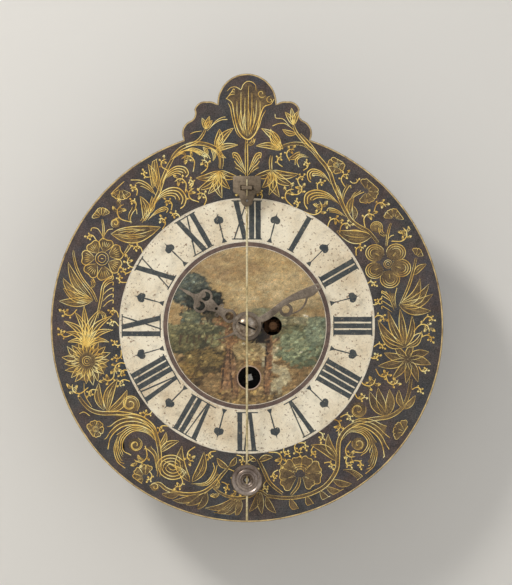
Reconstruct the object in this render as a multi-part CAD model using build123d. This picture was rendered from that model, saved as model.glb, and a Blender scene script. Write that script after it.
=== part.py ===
from build123d import *
from math import atan2, cos, degrees, hypot, pi, radians, sin, sqrt
import os

# A painted wall plate clock with a short pendulum that swings in front of the dial.
# Sizes are millimetres. Each piece is drawn with the hands' centre at x = 0, z = 0, the wall at y = 0
# and the dial facing -Y. At export everything moves down so that the hanging hole is the origin.

# Fits: a fixed seat is this much larger than its piece, and a running hole this much larger than its pivot.
seat_gap = 0.02
running_gap = 0.04
end_shake = 0.2

# Depths, from the wall to the dial
wall_gap = 7.0
frame_plate_thick = 2.5
frame_space = 40.0
dial_gap = 13.0
plate_thick = 1.6
back_rear = -wall_gap
back_face = back_rear - frame_plate_thick
front_rear = back_face - frame_space
front_face = front_rear - frame_plate_thick
dial_rear = front_face - dial_gap
dial_front = dial_rear - plate_thick

# Dial plate and its crest. Crest heights are measured from the top of the round plate.
plate_radius = 135.0
crest_lobe_half = 20.4
crest_lobe_top = 38.4
crest_notch_rise = 17.4
crest_shoulder_x = 27.5
crest_shoulder_rise = 19.3
crest_corner_x = 36.3
crest_corner_rise = 13.5
crest_waist_x = 38.8
crest_waist_rise = 6.0
crest_knob_x = 44.5
crest_knob_rise = -0.7
crest_root_x = 43.5
winding_hole_radius = 7.7
arbor_hole_radius = 6.5
arbor_hole_shift = -0.6
centre_hole_radius = 4.4

# Movement plates and what joins them
frame_half_width = 38.0
frame_bottom = -72.0
frame_top = 100.0
frame_corner = 5.0
pillar_x = 32.0
pillar_low = -66.0
pillar_high = 94.0
pillar_waist = 2.6
pillar_shoulder = 4.2
pillar_knop = 4.8
pillar_tail = 2.2
pillar_tail_length = 5.5
pin_radius = 0.8
pin_taper = 0.25
pillar_pin_length = 13.0
foot_x = 24.0
foot_low = -60.0
foot_high = 78.0
foot_radius = 3.0
foot_flange = 5.0
foot_flange_thick = 1.2
foot_seat = 0.9
foot_tail = 2.0
foot_tail_length = 5.0
foot_pin_length = 10.0

# Hanging strap and wall pegs
hang_height = 113.0
strap_half = 8.0
strap_thick = 2.0
strap_foot_low = 90.8
strap_bend_low = 102.5
strap_bend_high = 107.0
hang_hole_radius = 3.0
rivet_radius = 1.2
rivet_head = 2.1
rivet_head_thick = 1.0
strap_rivet_x = 4.6
strap_rivet_z = 95.5
peg_x = 20.0
peg_z = -64.0
peg_radius = 3.2
peg_tail = 1.6

# Tooth forms, as shares of the module (heights) and of the pitch (widths)
wheel_form = dict(addendum=1.0, dedendum=1.15, root=0.62, tip=0.22)
pinion_form = dict(addendum=0.7, dedendum=1.25, root=0.5, tip=0.25)

# Going train
train_module = 0.6
great_module = 0.8933
great_teeth = 72
centre_pinion_leaves = 8
centre_teeth = 72
contrate_pinion_leaves = 6
contrate_teeth = 66
crown_pinion_leaves = 6
crown_teeth = 31
winding_x = 1.5
wheel_thick = 1.6
great_thick = 2.5
wheel_rim = 2.2
arm_width = 2.0
collet_thick = 2.2

# Going barrel
barrel_radius = 28.0
barrel_wall = 1.5
barrel_depth = 24.6
barrel_cap_thick = 1.6
barrel_lip = 0.8
great_rear = -17.5
winding_journal = 3.0
winding_square = 4.2
square_angle = 17.0
square_recess = 0.8
core_radius = 6.5
spring_turns = 5
spring_thick = 0.45
spring_inner = 7.2

# Centre arbor, with its wheel behind the barrel and its front end inside the hand pipes
centre_wheel_rear = -12.4
centre_arbor_radius = 2.0
centre_back_pivot = 1.2
centre_journal = 1.5

# Contrate arbor and crown arbor
contrate_arbor_radius = 1.0
contrate_pivot = 0.8
contrate_disc_thick = 1.5
contrate_rim_thick = 0.8
crown_y = -28.6
crown_arbor_radius = 1.0
crown_pivot = 0.8
crown_radius = 11.3
crown_rim_thick = 0.8
crown_tooth_height = 2.7
crown_band = 2.2
crown_disc_thick = 1.0
potence_width = 8.0
potence_thick = 3.0
potence_foot = 10.0
potence_reach = 3.6
potence_round = 3.0
screw_radius = 1.25
screw_head = 2.5
screw_head_thick = 1.4
screw_depth = 2.4

# Verge and pendulum
verge_height = 85.7
verge_radius = 1.2
verge_pivot = 0.8
pallet_reach = 3.2
pallet_length = 3.0
pallet_thick = 0.6
pallet_angle = 47.5
pallet_clear = 3.0
verge_hole_radius = 3.6
verge_back_hole = 4.1
pendulum_length = 191.0
rod_radius = 0.75
rod_tail = 28.4
rod_collet_radius = 3.4
rod_collet_length = 4.2
rod_start = 1.6
rod_kink_top = 8.5
rod_kink_low = 15.5
rod_out = 4.6
rod_bow = 15.0
rod_bob_out = 8.9
bob_radius = 10.7
bob_thick = 6.0
bob_screw_head = 3.0
bob_screw_radius = 1.5
screw_slot = 0.9
bob_screw_thick = 1.7
bob_cup_radius = 4.1
bob_cup_floor = 1.6
bob_cup_clear = 0.35
bob_bead_radius = 4.9
bob_groove_radius = 7.5

# Front cock on its stud
cock_gap = 7.0
cock_thick = 2.2
cock_half = 9.6
cock_top = 102.6
cock_shoulder = 90.6
cock_tongue_half = 5.1
cock_tongue_end = 4.1
stud_z = 94.5
stud_width = 12.6
stud_height = 6.0
tenon_width = 7.2
tenon_height = 2.5
cock_slot_width = 8.8
cock_slot_height = 3.3
tenon_out = 3.8
cock_pin_length = 11.3
cock_pin_radius = 0.6
verge_sink = 1.1

# Back cock
back_cock_half = 8.0
back_cock_low = 71.2
back_cock_thick = 1.8
back_cock_step = 1.4
back_cock_screw_x = 5.0
back_cock_screw_z = 75.2

# Motion work and hands
cannon_module = 0.45
cannon_teeth = 20
minute_teeth = 60
hour_module = 0.6
hour_teeth = 48
minute_pinion_leaves = 12
motion_gap = 2.2
motion_thick = 2.0
motion_step = 1.4
stud_radius = 2.0
stud_cap_radius = 2.75
cannon_radius = 2.4
cannon_square = 3.4
hour_pipe_radius = 3.6
hand_thick = 1.2
hour_hand_out = 3.5
minute_hand_out = 7.5
hour_hand_angle = 299.4
minute_hand_angle = 61.0
hand_boss = 9.9
hour_hand_length = 54.8
minute_hand_length = 57.6
nut_radius = 7.4
nut_height = 3.8
nut_slot = 1.3
nut_slot_angle = -24.0
slot_depth = 1.1
hour_lobe_z = 34.6
hour_lobe_x = 3.8
hour_lobe_radius = 4.7
hour_crescent = 3.2
hour_crescent_bite = 2.2
hour_eye_z = 24.0
hour_eye_radius = 2.4
hour_eye_hole = 1.1
hour_side_eye_x = 3.5
hour_side_eye_z = 21.8
hour_side_eye_radius = 1.5
hour_side_eye_hole = 0.6
hour_ring_z = 13.8
hour_ring_radius = 4.8
hour_ring_hole = 2.9
hour_waist = 3.4
hour_point_root = 1.3
minute_eye_x = 3.4
minute_eye_z = 28.7
minute_eye_radius = 4.7
minute_eye_hole = 2.6
minute_eye_shift = 0.5
minute_tip_radius = 2.6
minute_tip_hole = 1.1
minute_neck = 1.6
minute_tail_end = 23.6
minute_tail_root = 1.4

# Ratchet and click
ratchet_teeth = 24
ratchet_radius = 9.0
ratchet_depth = 1.2
ratchet_thick = 2.0
click_contact_angle = 110.0
click_arm = 15.0
click_spring_width = 0.6
click_boss = 3.2
click_screw_radius = 1.3


# Places that follow from the sizes above
great_distance = (great_teeth + centre_pinion_leaves) / 2 * great_module
winding_z = -sqrt(great_distance**2 - winding_x**2)
contrate_z = (centre_teeth + contrate_pinion_leaves) / 2 * train_module
contrate_radius = contrate_teeth / 2 * train_module
crown_pinion_radius = crown_pinion_leaves / 2 * train_module
contrate_pitch_y = crown_y - crown_pinion_radius
contrate_tip_y = contrate_pitch_y + wheel_form["addendum"] * train_module
contrate_root_y = contrate_pitch_y - wheel_form["dedendum"] * train_module
contrate_front = contrate_tip_y - 6.2
crown_pinion_z = contrate_z + contrate_radius
crown_tip_z = verge_height - pallet_clear
crown_band_z = crown_tip_z - crown_tooth_height
crown_disc_z = crown_band_z - crown_band
lower_potence_top = crown_pinion_z - 4.6
upper_potence_top = crown_disc_z - 2.4
motion_distance = (minute_teeth + cannon_teeth) / 2 * cannon_module
cannon_front = front_face - motion_gap - motion_thick
hour_wheel_rear = cannon_front - motion_step
hour_hand_rear = dial_front - hour_hand_out
minute_hand_rear = dial_front - minute_hand_out
minute_hand_front = minute_hand_rear - hand_thick
cannon_end = minute_hand_front - 1.8
cock_rear = dial_front - cock_gap
cock_front = cock_rear - cock_thick
rod_y = cock_rear + 3.1
bob_z = verge_height - pendulum_length
bob_y = dial_front - rod_bob_out
bob_front = bob_y - bob_thick / 2
barrel_front = great_rear - great_thick - barrel_depth
cap_front = barrel_front - barrel_cap_thick
square_end = dial_rear + square_recess
centre_wheel_front = centre_wheel_rear - wheel_thick
centre_collet_front = centre_wheel_front - collet_thick
back_cock_face = back_rear + back_cock_step
ratchet_rear = front_face - 0.6
ratchet_front = ratchet_rear - ratchet_thick


def slab(sketch, front, rear):
    """A flat piece: a sketch seen from the front, x to the right and z up, between two depths."""
    return Pos(0, rear, 0) * extrude(Plane.XZ * sketch, amount=rear - front)


def bar(radius, front, rear, x=0.0, z=0.0):
    """A round bar along the depth."""
    return Pos(x, (front + rear) / 2, z) * Rot(90, 0, 0) * Cylinder(radius, rear - front)


def turned(profile, x=0.0, z=0.0):
    """A piece turned about an axis along the depth, from points of radius and depth."""
    face = make_face(Polyline(*profile, close=True))
    return Pos(x, 0, z) * revolve(face, Axis.Y)


def polar(radius, angle):
    return (radius * cos(radians(angle)), radius * sin(radians(angle)))


def spread(piece, places):
    """Copies of a piece, one at each x and z."""
    return [Pos(x, 0, z) * piece for x, z in places]


def joined(pieces):
    """Separate solids of one kind, kept apart in one part."""
    return Part() + list(pieces)


def gear(teeth, module, form, phase):
    """A gear's outline, with the middle of one tooth at the phase angle."""
    pitch_radius = teeth * module / 2
    root = pitch_radius - form["dedendum"] * module
    tip = pitch_radius + form["addendum"] * module
    half = 180 / teeth
    points = []
    for i in range(teeth):
        middle = phase + 2 * half * i
        points.append(polar(root, middle - form["root"] * half))
        points.append(polar(tip, middle - form["tip"] * half))
        points.append(polar(tip, middle + form["tip"] * half))
        points.append(polar(root, middle + form["root"] * half))
    return make_face(Polyline(*points, close=True))


def crossings(outer, inner, count, width, start=0.0):
    """The open sectors between a wheel's arms."""
    gaps = Circle(outer) - Circle(inner)
    for i in range(count):
        gaps -= Rot(0, 0, start + 360 / count * i) * Pos(outer / 2, 0) * Rectangle(outer, width)
    return gaps


def taper_pin(length, radius):
    """A taper pin along X, thick end at +X, centred on its length."""
    return Rot(0, 90, 0) * Cone(radius - pin_taper, radius, length)


def pillar_places():
    return [(side * pillar_x, z) for z in (pillar_low, pillar_high) for side in (-1, 1)]


def foot_places():
    return [(side * foot_x, z) for z in (foot_low, foot_high) for side in (-1, 1)]


def crest():
    """The lobed crest, drawn down to the root points where it leaves the round plate."""
    root = (crest_root_x, sqrt(plate_radius**2 - crest_root_x**2))
    waist = (crest_waist_x, plate_radius + crest_waist_rise)
    corner = (crest_corner_x, plate_radius + crest_corner_rise)
    shoulder = (crest_shoulder_x, plate_radius + crest_shoulder_rise)
    notch = (crest_lobe_half, plate_radius + crest_notch_rise)
    corner_mid = ((corner[0] + shoulder[0]) / 2 + 1.3, (corner[1] + shoulder[1]) / 2 + 1.6)
    waist_mid = (min(corner[0], waist[0]) - 0.4, (corner[1] + waist[1]) / 2)
    notch_mid = ((shoulder[0] + notch[0]) / 2, (shoulder[1] + notch[1]) / 2 + 0.8)
    half = [
        ThreePointArc(root, (crest_knob_x, plate_radius + crest_knob_rise), waist),
        ThreePointArc(waist, waist_mid, corner),
        ThreePointArc(corner, corner_mid, shoulder),
        ThreePointArc(shoulder, notch_mid, notch),
    ]
    lobe = ThreePointArc(notch, (0, plate_radius + crest_lobe_top), (-notch[0], notch[1]))
    base = Polyline((-root[0], root[1]), (0, 0), root)
    return make_face(half + [mirror(edge, Plane.YZ) for edge in half] + [lobe, base])


def dial_plate():
    outline = Circle(plate_radius) + crest()
    outline -= Pos(winding_x, winding_z) * Circle(winding_hole_radius)
    outline -= Pos(motion_distance + arbor_hole_shift, 0) * Circle(arbor_hole_radius)
    outline -= Circle(centre_hole_radius)
    outline -= Pos(0, verge_height) * Circle(verge_hole_radius)
    outline -= Pos(0, stud_z) * Rectangle(stud_width + 0.4, stud_height + 0.4)
    plate = slab(outline, dial_front, dial_rear)
    return plate - spread(bar(foot_radius + seat_gap, dial_rear - foot_seat, dial_rear), foot_places())


def dial_feet():
    """Each foot is brazed into a blind seat behind the dial, and its tail passes the front plate."""
    foot = turned([
        (0, dial_rear - foot_seat),
        (foot_radius, dial_rear - foot_seat),
        (foot_radius, dial_rear),
        (foot_flange, dial_rear),
        (foot_radius, dial_rear + foot_flange_thick),
        (foot_radius, front_face),
        (foot_tail, front_face),
        (foot_tail, front_rear + foot_tail_length - 0.5),
        (foot_tail - 0.5, front_rear + foot_tail_length),
        (0, front_rear + foot_tail_length),
    ])
    foot -= Pos(0, front_rear + pin_radius, 0) * Rot(0, 90, 0) * Cylinder(pin_radius, 4 * foot_tail)
    return joined(spread(foot, foot_places()))


def dial_foot_pins():
    pin = Pos(0, front_rear + pin_radius, 0) * taper_pin(foot_pin_length, pin_radius)
    return joined(spread(pin, foot_places()))


def movement_plate_outline():
    height = frame_top - frame_bottom
    middle = (frame_top + frame_bottom) / 2
    outline = Pos(0, middle) * RectangleRounded(2 * frame_half_width, height, frame_corner)
    return outline


def front_plate():
    outline = movement_plate_outline()
    outline -= spread_flat(Circle(pillar_tail + seat_gap), pillar_places())
    outline -= spread_flat(Circle(foot_tail + seat_gap), foot_places())
    outline -= Circle(centre_journal + running_gap)
    outline -= Pos(winding_x, winding_z) * Circle(winding_journal + running_gap)
    outline -= Pos(0, contrate_z) * Circle(contrate_pivot + running_gap)
    outline -= Pos(0, verge_height) * Circle(verge_hole_radius)
    outline -= Pos(0, stud_z) * Circle(stud_height / 2 - 0.4 + seat_gap)
    outline -= Pos(motion_distance, 0) * Circle(stud_cap_radius - 1.1 + seat_gap)
    outline -= Pos(*click_place()) * Circle(click_screw_radius + seat_gap)
    outline -= Pos(*spring_screw_place()) * Circle(click_screw_radius + seat_gap)
    return slab(outline, front_face, front_rear)


def back_plate():
    outline = movement_plate_outline()
    outline -= spread_flat(Circle(pillar_waist + seat_gap), pillar_places())
    outline -= spread_flat(Circle(peg_tail + seat_gap), [(-peg_x, peg_z), (peg_x, peg_z)])
    outline -= spread_flat(Circle(rivet_radius + seat_gap), rivet_places())
    places = back_cock_screw_places() + potence_screw_places()
    outline -= spread_flat(Circle(screw_radius + seat_gap), places)
    outline -= Circle(centre_back_pivot + running_gap)
    outline -= Pos(winding_x, winding_z) * Circle(winding_journal + running_gap)
    outline -= Pos(0, contrate_z) * Circle(contrate_pivot + running_gap)
    outline -= Pos(0, verge_height) * Circle(verge_back_hole)
    return slab(outline, back_face, back_rear)


def spread_flat(sketch, places):
    """Copies of a sketch, one at each x and z of a movement plate."""
    return [Pos(x, z) * sketch for x, z in places]


def movement_pillars():
    """Turned pillars: riveted in the back plate, with a tail through the front plate for a pin."""
    middle = (front_rear + back_face) / 2
    pillar = turned([
        (0, back_rear),
        (pillar_waist, back_rear),
        (pillar_waist, back_face),
        (pillar_shoulder, back_face),
        (pillar_shoulder, back_face - 2.0),
        (pillar_waist, back_face - 4.0),
        (pillar_waist, middle + 4.0),
        (pillar_knop, middle + 1.4),
        (pillar_knop, middle - 1.4),
        (pillar_waist, middle - 4.0),
        (pillar_waist, front_rear + 4.0),
        (pillar_shoulder, front_rear + 2.0),
        (pillar_shoulder, front_rear),
        (pillar_tail, front_rear),
        (pillar_tail, front_face - pillar_tail_length + 0.6),
        (pillar_tail - 0.6, front_face - pillar_tail_length),
        (0, front_face - pillar_tail_length),
    ])
    pillar -= Pos(0, front_face - pin_radius, 0) * Rot(0, 90, 0) * Cylinder(pin_radius, 4 * pillar_tail)
    return joined(spread(pillar, pillar_places()))


def pillar_pins():
    pin = Pos(0, front_face - pin_radius, 0) * taper_pin(pillar_pin_length, pin_radius)
    return joined(spread(pin, pillar_places()))


def rivet_places():
    return [(-strap_rivet_x, strap_rivet_z), (strap_rivet_x, strap_rivet_z)]


def hanger():
    """The hanging strap: a foot on the back plate, a step to the wall and a round eye."""
    side = make_face(Polyline(
        (back_rear, strap_foot_low),
        (back_rear + strap_thick, strap_foot_low),
        (back_rear + strap_thick, strap_bend_low),
        (0, strap_bend_high),
        (0, hang_height + strap_half),
        (-strap_thick, hang_height + strap_half),
        (-strap_thick, strap_bend_high + 0.9),
        (back_rear, strap_bend_low + 0.9),
        close=True,
    ))
    bent = extrude(Plane.YZ * side, amount=strap_half, both=True)
    rise = hang_height - strap_foot_low
    front = Pos(0, strap_foot_low + rise / 2) * Rectangle(2 * strap_half, rise)
    front += Pos(0, hang_height) * Circle(strap_half)
    front -= Pos(0, hang_height) * Circle(hang_hole_radius)
    front -= spread_flat(Circle(rivet_radius + seat_gap), rivet_places())
    return bent & slab(front, back_rear, 0)


def hanger_rivets():
    rivet = turned([
        (0, back_face),
        (rivet_radius, back_face),
        (rivet_radius, back_rear + strap_thick),
        (rivet_head, back_rear + strap_thick),
        (rivet_head - 0.5, back_rear + strap_thick + rivet_head_thick),
        (0, back_rear + strap_thick + rivet_head_thick),
    ])
    return joined(spread(rivet, rivet_places()))


def wall_pegs():
    """Two pegs that keep the foot of the movement off the wall."""
    peg = turned([
        (0, back_face),
        (peg_tail, back_face),
        (peg_tail, back_rear),
        (peg_radius, back_rear),
        (peg_radius - 0.7, 0),
        (0, 0),
    ])
    return joined(spread(peg, [(-peg_x, peg_z), (peg_x, peg_z)]))


def potence(top, foot_down):
    """An arm from the back plate with a bearing for the crown arbor. Its foot hangs down from the arm."""
    reach = back_face - crown_y + potence_reach
    arm = Pos(0, -reach / 2 + back_face) * Rectangle(potence_width, reach)
    arm = fillet(arm.vertices().sort_by(Axis.Y)[:2], potence_round)
    arm = extrude(Pos(0, 0, top - potence_thick) * arm, potence_thick)
    foot = Pos(0, back_face - potence_thick / 2, top - foot_down / 2)
    return arm + foot * Box(potence_width, potence_thick, foot_down)


def potence_screw_places():
    low = lower_potence_top - potence_foot + screw_head
    high = upper_potence_top - potence_foot + screw_head
    return [(0, low), (0, high)]


def lower_potence():
    """The lower potence, with a blind foot bearing."""
    piece = potence(lower_potence_top, potence_foot)
    depth = 1.6
    hole = Pos(0, crown_y, lower_potence_top - depth / 2) * Cylinder(crown_pivot + running_gap, depth)
    return piece - hole - screw_bore(potence_screw_places()[0])


def upper_potence():
    """The upper potence, with a bearing right through."""
    piece = potence(upper_potence_top, potence_foot)
    middle = upper_potence_top - potence_thick / 2
    hole = Pos(0, crown_y, middle) * Cylinder(crown_arbor_radius + running_gap, 2 * potence_thick)
    return piece - hole - screw_bore(potence_screw_places()[1])


def screw_bore(place):
    x, z = place
    return bar(screw_radius + seat_gap, back_face - screw_depth, back_face, x, z)


def cheese_screw(seat, end, place, angle=0.0):
    """A slotted screw driven toward the front, its head behind the seat."""
    x, z = place
    screw = bar(screw_head, seat, seat + screw_head_thick) + bar(screw_radius, end, seat)
    slot = Pos(0, seat + screw_head_thick, 0) * Rot(0, angle, 0) * Box(3 * screw_head, 1.2, 0.7)
    return Pos(x, 0, z) * (screw - slot)


def potence_screws():
    end = back_face - screw_depth + end_shake
    low, high = potence_screw_places()
    return joined([cheese_screw(back_rear, end, low, 20), cheese_screw(back_rear, end, high, -35)])


def back_cock_screw_places():
    return [(-back_cock_screw_x, back_cock_screw_z), (back_cock_screw_x, back_cock_screw_z)]


def back_cock():
    """The stepped cock behind the back plate that carries the verge's rear pivot."""
    end = verge_height + cock_tongue_end
    step = back_cock_low + 8.0
    side = make_face(Polyline(
        (back_rear, back_cock_low),
        (back_rear + back_cock_thick, back_cock_low),
        (back_rear + back_cock_thick, step - 1.0),
        (back_cock_face + back_cock_thick, step + 1.0),
        (back_cock_face + back_cock_thick, end),
        (back_cock_face, end),
        (back_cock_face, step + 2.2),
        (back_rear, step),
        close=True,
    ))
    stepped = extrude(Plane.YZ * side, amount=back_cock_half, both=True)
    foot = Pos(0, back_cock_low + 4.0) * Rectangle(2 * back_cock_half, 8.0)
    tongue_height = verge_height - back_cock_low
    tongue = Pos(0, back_cock_low + tongue_height / 2) * Rectangle(2 * cock_tongue_end, tongue_height)
    tongue += Pos(0, verge_height) * Circle(cock_tongue_end)
    tongue -= Pos(0, verge_height) * Circle(verge_pivot + running_gap)
    outline = foot + tongue
    outline -= spread_flat(Circle(screw_radius + seat_gap), back_cock_screw_places())
    return stepped & slab(outline, back_rear, 0)


def back_cock_screws():
    seat = back_rear + back_cock_thick
    left, right = back_cock_screw_places()
    return joined([cheese_screw(seat, back_face, left, 60), cheese_screw(seat, back_face, right, 15)])


def barrel_arbor():
    """The winding arbor: back pivot, hooked core in the barrel, front journal and winding square."""
    core_front = barrel_front + barrel_lip + 0.6
    core_rear = great_rear - great_thick - 0.6
    arbor = turned([
        (0, back_rear),
        (winding_journal, back_rear),
        (winding_journal, core_rear),
        (core_radius, core_rear),
        (core_radius, core_front),
        (winding_journal, core_front),
        (winding_journal, front_face),
        (0, front_face),
    ])
    square = Rectangle(winding_square, winding_square)
    arbor += slab(Rot(0, 0, square_angle) * square, square_end, front_face)
    arbor -= Pos(0, square_end, 0) * Rot(90, 0, 0) * Cone(0.0, 0.7, 1.0)
    pin_hole = Rot(0, -square_angle, 0) * Rot(0, 90, 0) * Cylinder(pin_radius, 3 * winding_square)
    pin_hole = Pos(0, ratchet_front - pin_radius, 0) * pin_hole
    return Pos(winding_x, 0, winding_z) * (arbor - pin_hole)


def ratchet_pin():
    pin = Rot(0, -square_angle, 0) * taper_pin(9.0, pin_radius)
    return Pos(winding_x, ratchet_front - pin_radius, winding_z) * pin


def ratchet_phase():
    """The angle of a tooth's radial face at which the click's beak meets it."""
    return click_contact_angle


def ratchet_wheel():
    """Saw teeth whose radial faces look clockwise, so that the arbor can only be wound the other way."""
    pitch = 360 / ratchet_teeth
    points = []
    for i in range(ratchet_teeth):
        face_angle = ratchet_phase() + pitch * i
        points.append(polar(ratchet_radius - ratchet_depth, face_angle))
        points.append(polar(ratchet_radius, face_angle))
        points.append(polar(ratchet_radius, face_angle + 0.12 * pitch))
    wheel = make_face(Polyline(*points, close=True))
    square = winding_square + 2 * seat_gap
    wheel -= Rot(0, 0, square_angle) * Rectangle(square, square)
    return Pos(winding_x, 0, winding_z) * slab(wheel, ratchet_front, ratchet_rear)


def click_contact():
    """Where the click's beak stands in a tooth space, just short of the radial face."""
    x, z = polar(ratchet_radius - ratchet_depth + 0.2, click_contact_angle - 1.6)
    return (winding_x + x, winding_z + z)


def click_place():
    """The click's pivot, square to the ratchet's radius at the beak."""
    along = radians(click_contact_angle)
    x, z = click_contact()
    return (x + click_arm * sin(along), z - click_arm * cos(along) + 1.2)


def click():
    """A pivoted lever whose beak drops into the ratchet."""
    pivot = click_place()
    tip = click_contact()
    radial = polar(1.0, click_contact_angle)
    tangent = (radial[1], -radial[0])

    def point(out, along):
        x = tip[0] + radial[0] * out + tangent[0] * along
        return (x, tip[1] + radial[1] * out + tangent[1] * along)

    lever = make_face(Polyline(
        point(0.0, 0.0),
        point(1.1, 1.9),
        point(1.9, 4.5),
        (pivot[0] - 1.0, pivot[1] - click_boss + 0.4),
        (pivot[0] - 0.6, pivot[1] + click_boss - 0.2),
        point(4.4, 3.0),
        point(3.2, 0.3),
        close=True,
    ))
    lever += Pos(*pivot) * Circle(click_boss)
    lever -= Pos(*pivot) * Circle(click_screw_radius + running_gap + 0.5)
    return slab(lever, ratchet_front, ratchet_rear)


def click_screw():
    """A shouldered screw: the click turns on its shoulder."""
    head_rear = ratchet_front - end_shake
    screw = turned([
        (0, front_rear),
        (click_screw_radius, front_rear),
        (click_screw_radius, front_face),
        (click_screw_radius + 0.5, front_face),
        (click_screw_radius + 0.5, head_rear),
        (screw_head + 0.3, head_rear),
        (screw_head, head_rear - screw_head_thick),
        (0, head_rear - screw_head_thick),
    ])
    slot = Pos(0, head_rear - screw_head_thick, 0) * Rot(0, 40, 0) * Box(4 * screw_head, 1.4, 0.7)
    return Pos(click_place()[0], 0, click_place()[1]) * (screw - slot)


def spring_screw_place():
    x, z = click_place()
    return (x - 24.0, z + 7.0)


def click_spring():
    """A curved flat spring that bears on the click just beside its pivot."""
    foot_x_, foot_z_ = spring_screw_place()
    pivot = click_place()
    end = (pivot[0] - 3.4, pivot[1] + click_boss + 0.5)
    start = (foot_x_ + 2.5, foot_z_ + 1.0)
    middle = ((start[0] + end[0]) / 2, max(start[1], end[1]) + 1.6)
    inner = ThreePointArc(start, middle, end)
    high = (middle[0], middle[1] + click_spring_width)
    outer = ThreePointArc((start[0], start[1] + 0.7), high, (end[0] + 0.2, end[1] + 0.5))
    strip = make_face([inner, outer, Line(start, outer @ 0), Line(end, outer @ 1)])
    foot = Pos(foot_x_, foot_z_) * RectangleRounded(8.0, 5.4, 1.5)
    outline = strip + foot - Pos(foot_x_, foot_z_) * Circle(click_screw_radius + seat_gap)
    return slab(outline, front_face - 2.0, front_face)


def click_spring_screw():
    x, z = spring_screw_place()
    seat = front_face - 2.0
    screw = bar(screw_head, seat - screw_head_thick, seat) + bar(click_screw_radius, seat, front_rear)
    slot = Pos(0, seat - screw_head_thick, 0) * Rot(0, -25, 0) * Box(3 * screw_head, 1.4, 0.7)
    return Pos(x, 0, z) * (screw - slot)


def great_wheel():
    """The barrel's toothed base, set so that a tooth points at the centre pinion."""
    phase = degrees(atan2(-winding_z, -winding_x))
    face = gear(great_teeth, great_module, wheel_form, phase)
    face -= Circle(winding_journal + running_gap)
    return Pos(winding_x, 0, winding_z) * slab(face, great_rear - great_thick, great_rear)


def barrel_drum():
    ring = Circle(barrel_radius) - Circle(barrel_radius - barrel_wall)
    return Pos(winding_x, 0, winding_z) * slab(ring, barrel_front, great_rear - great_thick)


def barrel_cap():
    """The snapped-in cap, with its prising slot at the edge."""
    cap = bar(barrel_radius, cap_front, barrel_front)
    cap += bar(barrel_radius - barrel_wall - seat_gap, barrel_front, barrel_front + barrel_lip)
    cap -= bar(winding_journal + running_gap, cap_front - 1, barrel_front + 1 + barrel_lip)
    slot = Pos(0, cap_front, barrel_radius) * Box(7.0, 2.0 * barrel_cap_thick, 3.0)
    return Pos(winding_x, 0, winding_z) * (cap - slot)


def mainspring():
    """The coiled spring strip, drawn in half-turn arcs about two centres."""
    outer = barrel_radius - barrel_wall - spring_thick - 0.15
    step = (outer - spring_inner) / (2 * spring_turns)
    inside = []
    outside = []
    for i in range(2 * spring_turns):
        centre = 0 if i % 2 == 0 else step
        start = 0 if i % 2 == 0 else 180
        radius = spring_inner + step * i
        inside.append(CenterArc((centre, 0), radius, start, 180))
        outside.append(CenterArc((centre, 0), radius + spring_thick, start, 180))
    ends = [Line(inside[0] @ 0, outside[0] @ 0), Line(inside[-1] @ 1, outside[-1] @ 1)]
    strip = make_face(inside + outside + ends)
    rear = great_rear - great_thick - 0.6
    front = barrel_front + barrel_lip + 0.6
    return Pos(winding_x, 0, winding_z) * slab(strip, front, rear)


def centre_arbor():
    """The centre arbor with its pinion and the long front end that carries the hands."""
    arbor = turned([
        (0, back_rear + 0.2),
        (centre_back_pivot, back_rear + 0.2),
        (centre_back_pivot, back_face - end_shake),
        (centre_arbor_radius, back_face - end_shake),
        (centre_arbor_radius, front_rear + end_shake),
        (centre_journal, front_rear + end_shake),
        (centre_journal, cannon_end + 1.2),
        (0, cannon_end + 1.2),
    ])
    phase = degrees(atan2(winding_z, winding_x)) + 180 / centre_pinion_leaves
    leaves = gear(centre_pinion_leaves, great_module, pinion_form, phase)
    return arbor + slab(leaves, great_rear - great_thick - 1.0, great_rear + 1.0)


def wheel_collet(radius, seat, bore, wheel_front, wheel_rear, front):
    """A collet with a shoulder in front of its wheel and a seat inside it."""
    return turned([
        (bore, front),
        (radius, front),
        (radius, wheel_front),
        (seat, wheel_front),
        (seat, wheel_rear),
        (bore, wheel_rear),
    ])


def centre_collet():
    return wheel_collet(4.0, 3.2, centre_arbor_radius + seat_gap, centre_wheel_front, centre_wheel_rear,
                        centre_collet_front)


def centre_wheel():
    face = gear(centre_teeth, train_module, wheel_form, 90)
    rim = centre_teeth * train_module / 2 - wheel_rim
    face -= crossings(rim, 5.0, 4, arm_width, 45)
    face -= Circle(3.2 + seat_gap)
    return slab(face, centre_wheel_front, centre_wheel_rear)


def contrate_arbor():
    arbor = turned([
        (0, back_rear + 0.2),
        (contrate_pivot, back_rear + 0.2),
        (contrate_pivot, back_face - end_shake),
        (contrate_arbor_radius, back_face - end_shake),
        (contrate_arbor_radius, front_rear + end_shake),
        (contrate_pivot, front_rear + end_shake),
        (contrate_pivot, front_face - 0.2),
        (0, front_face - 0.2),
    ])
    phase = -90 + 180 / contrate_pinion_leaves
    leaves = gear(contrate_pinion_leaves, train_module, pinion_form, phase)
    arbor += slab(leaves, centre_wheel_front - 1.2, centre_wheel_rear + 1.2)
    return Pos(0, 0, contrate_z) * arbor


def contrate_collet():
    rear = contrate_front + contrate_disc_thick
    collet = turned([
        (contrate_arbor_radius + seat_gap, contrate_front),
        (2.4, contrate_front),
        (2.4, rear),
        (3.4, rear),
        (3.4, rear + collet_thick),
        (contrate_arbor_radius + seat_gap, rear + collet_thick),
    ])
    return Pos(0, 0, contrate_z) * collet


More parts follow.
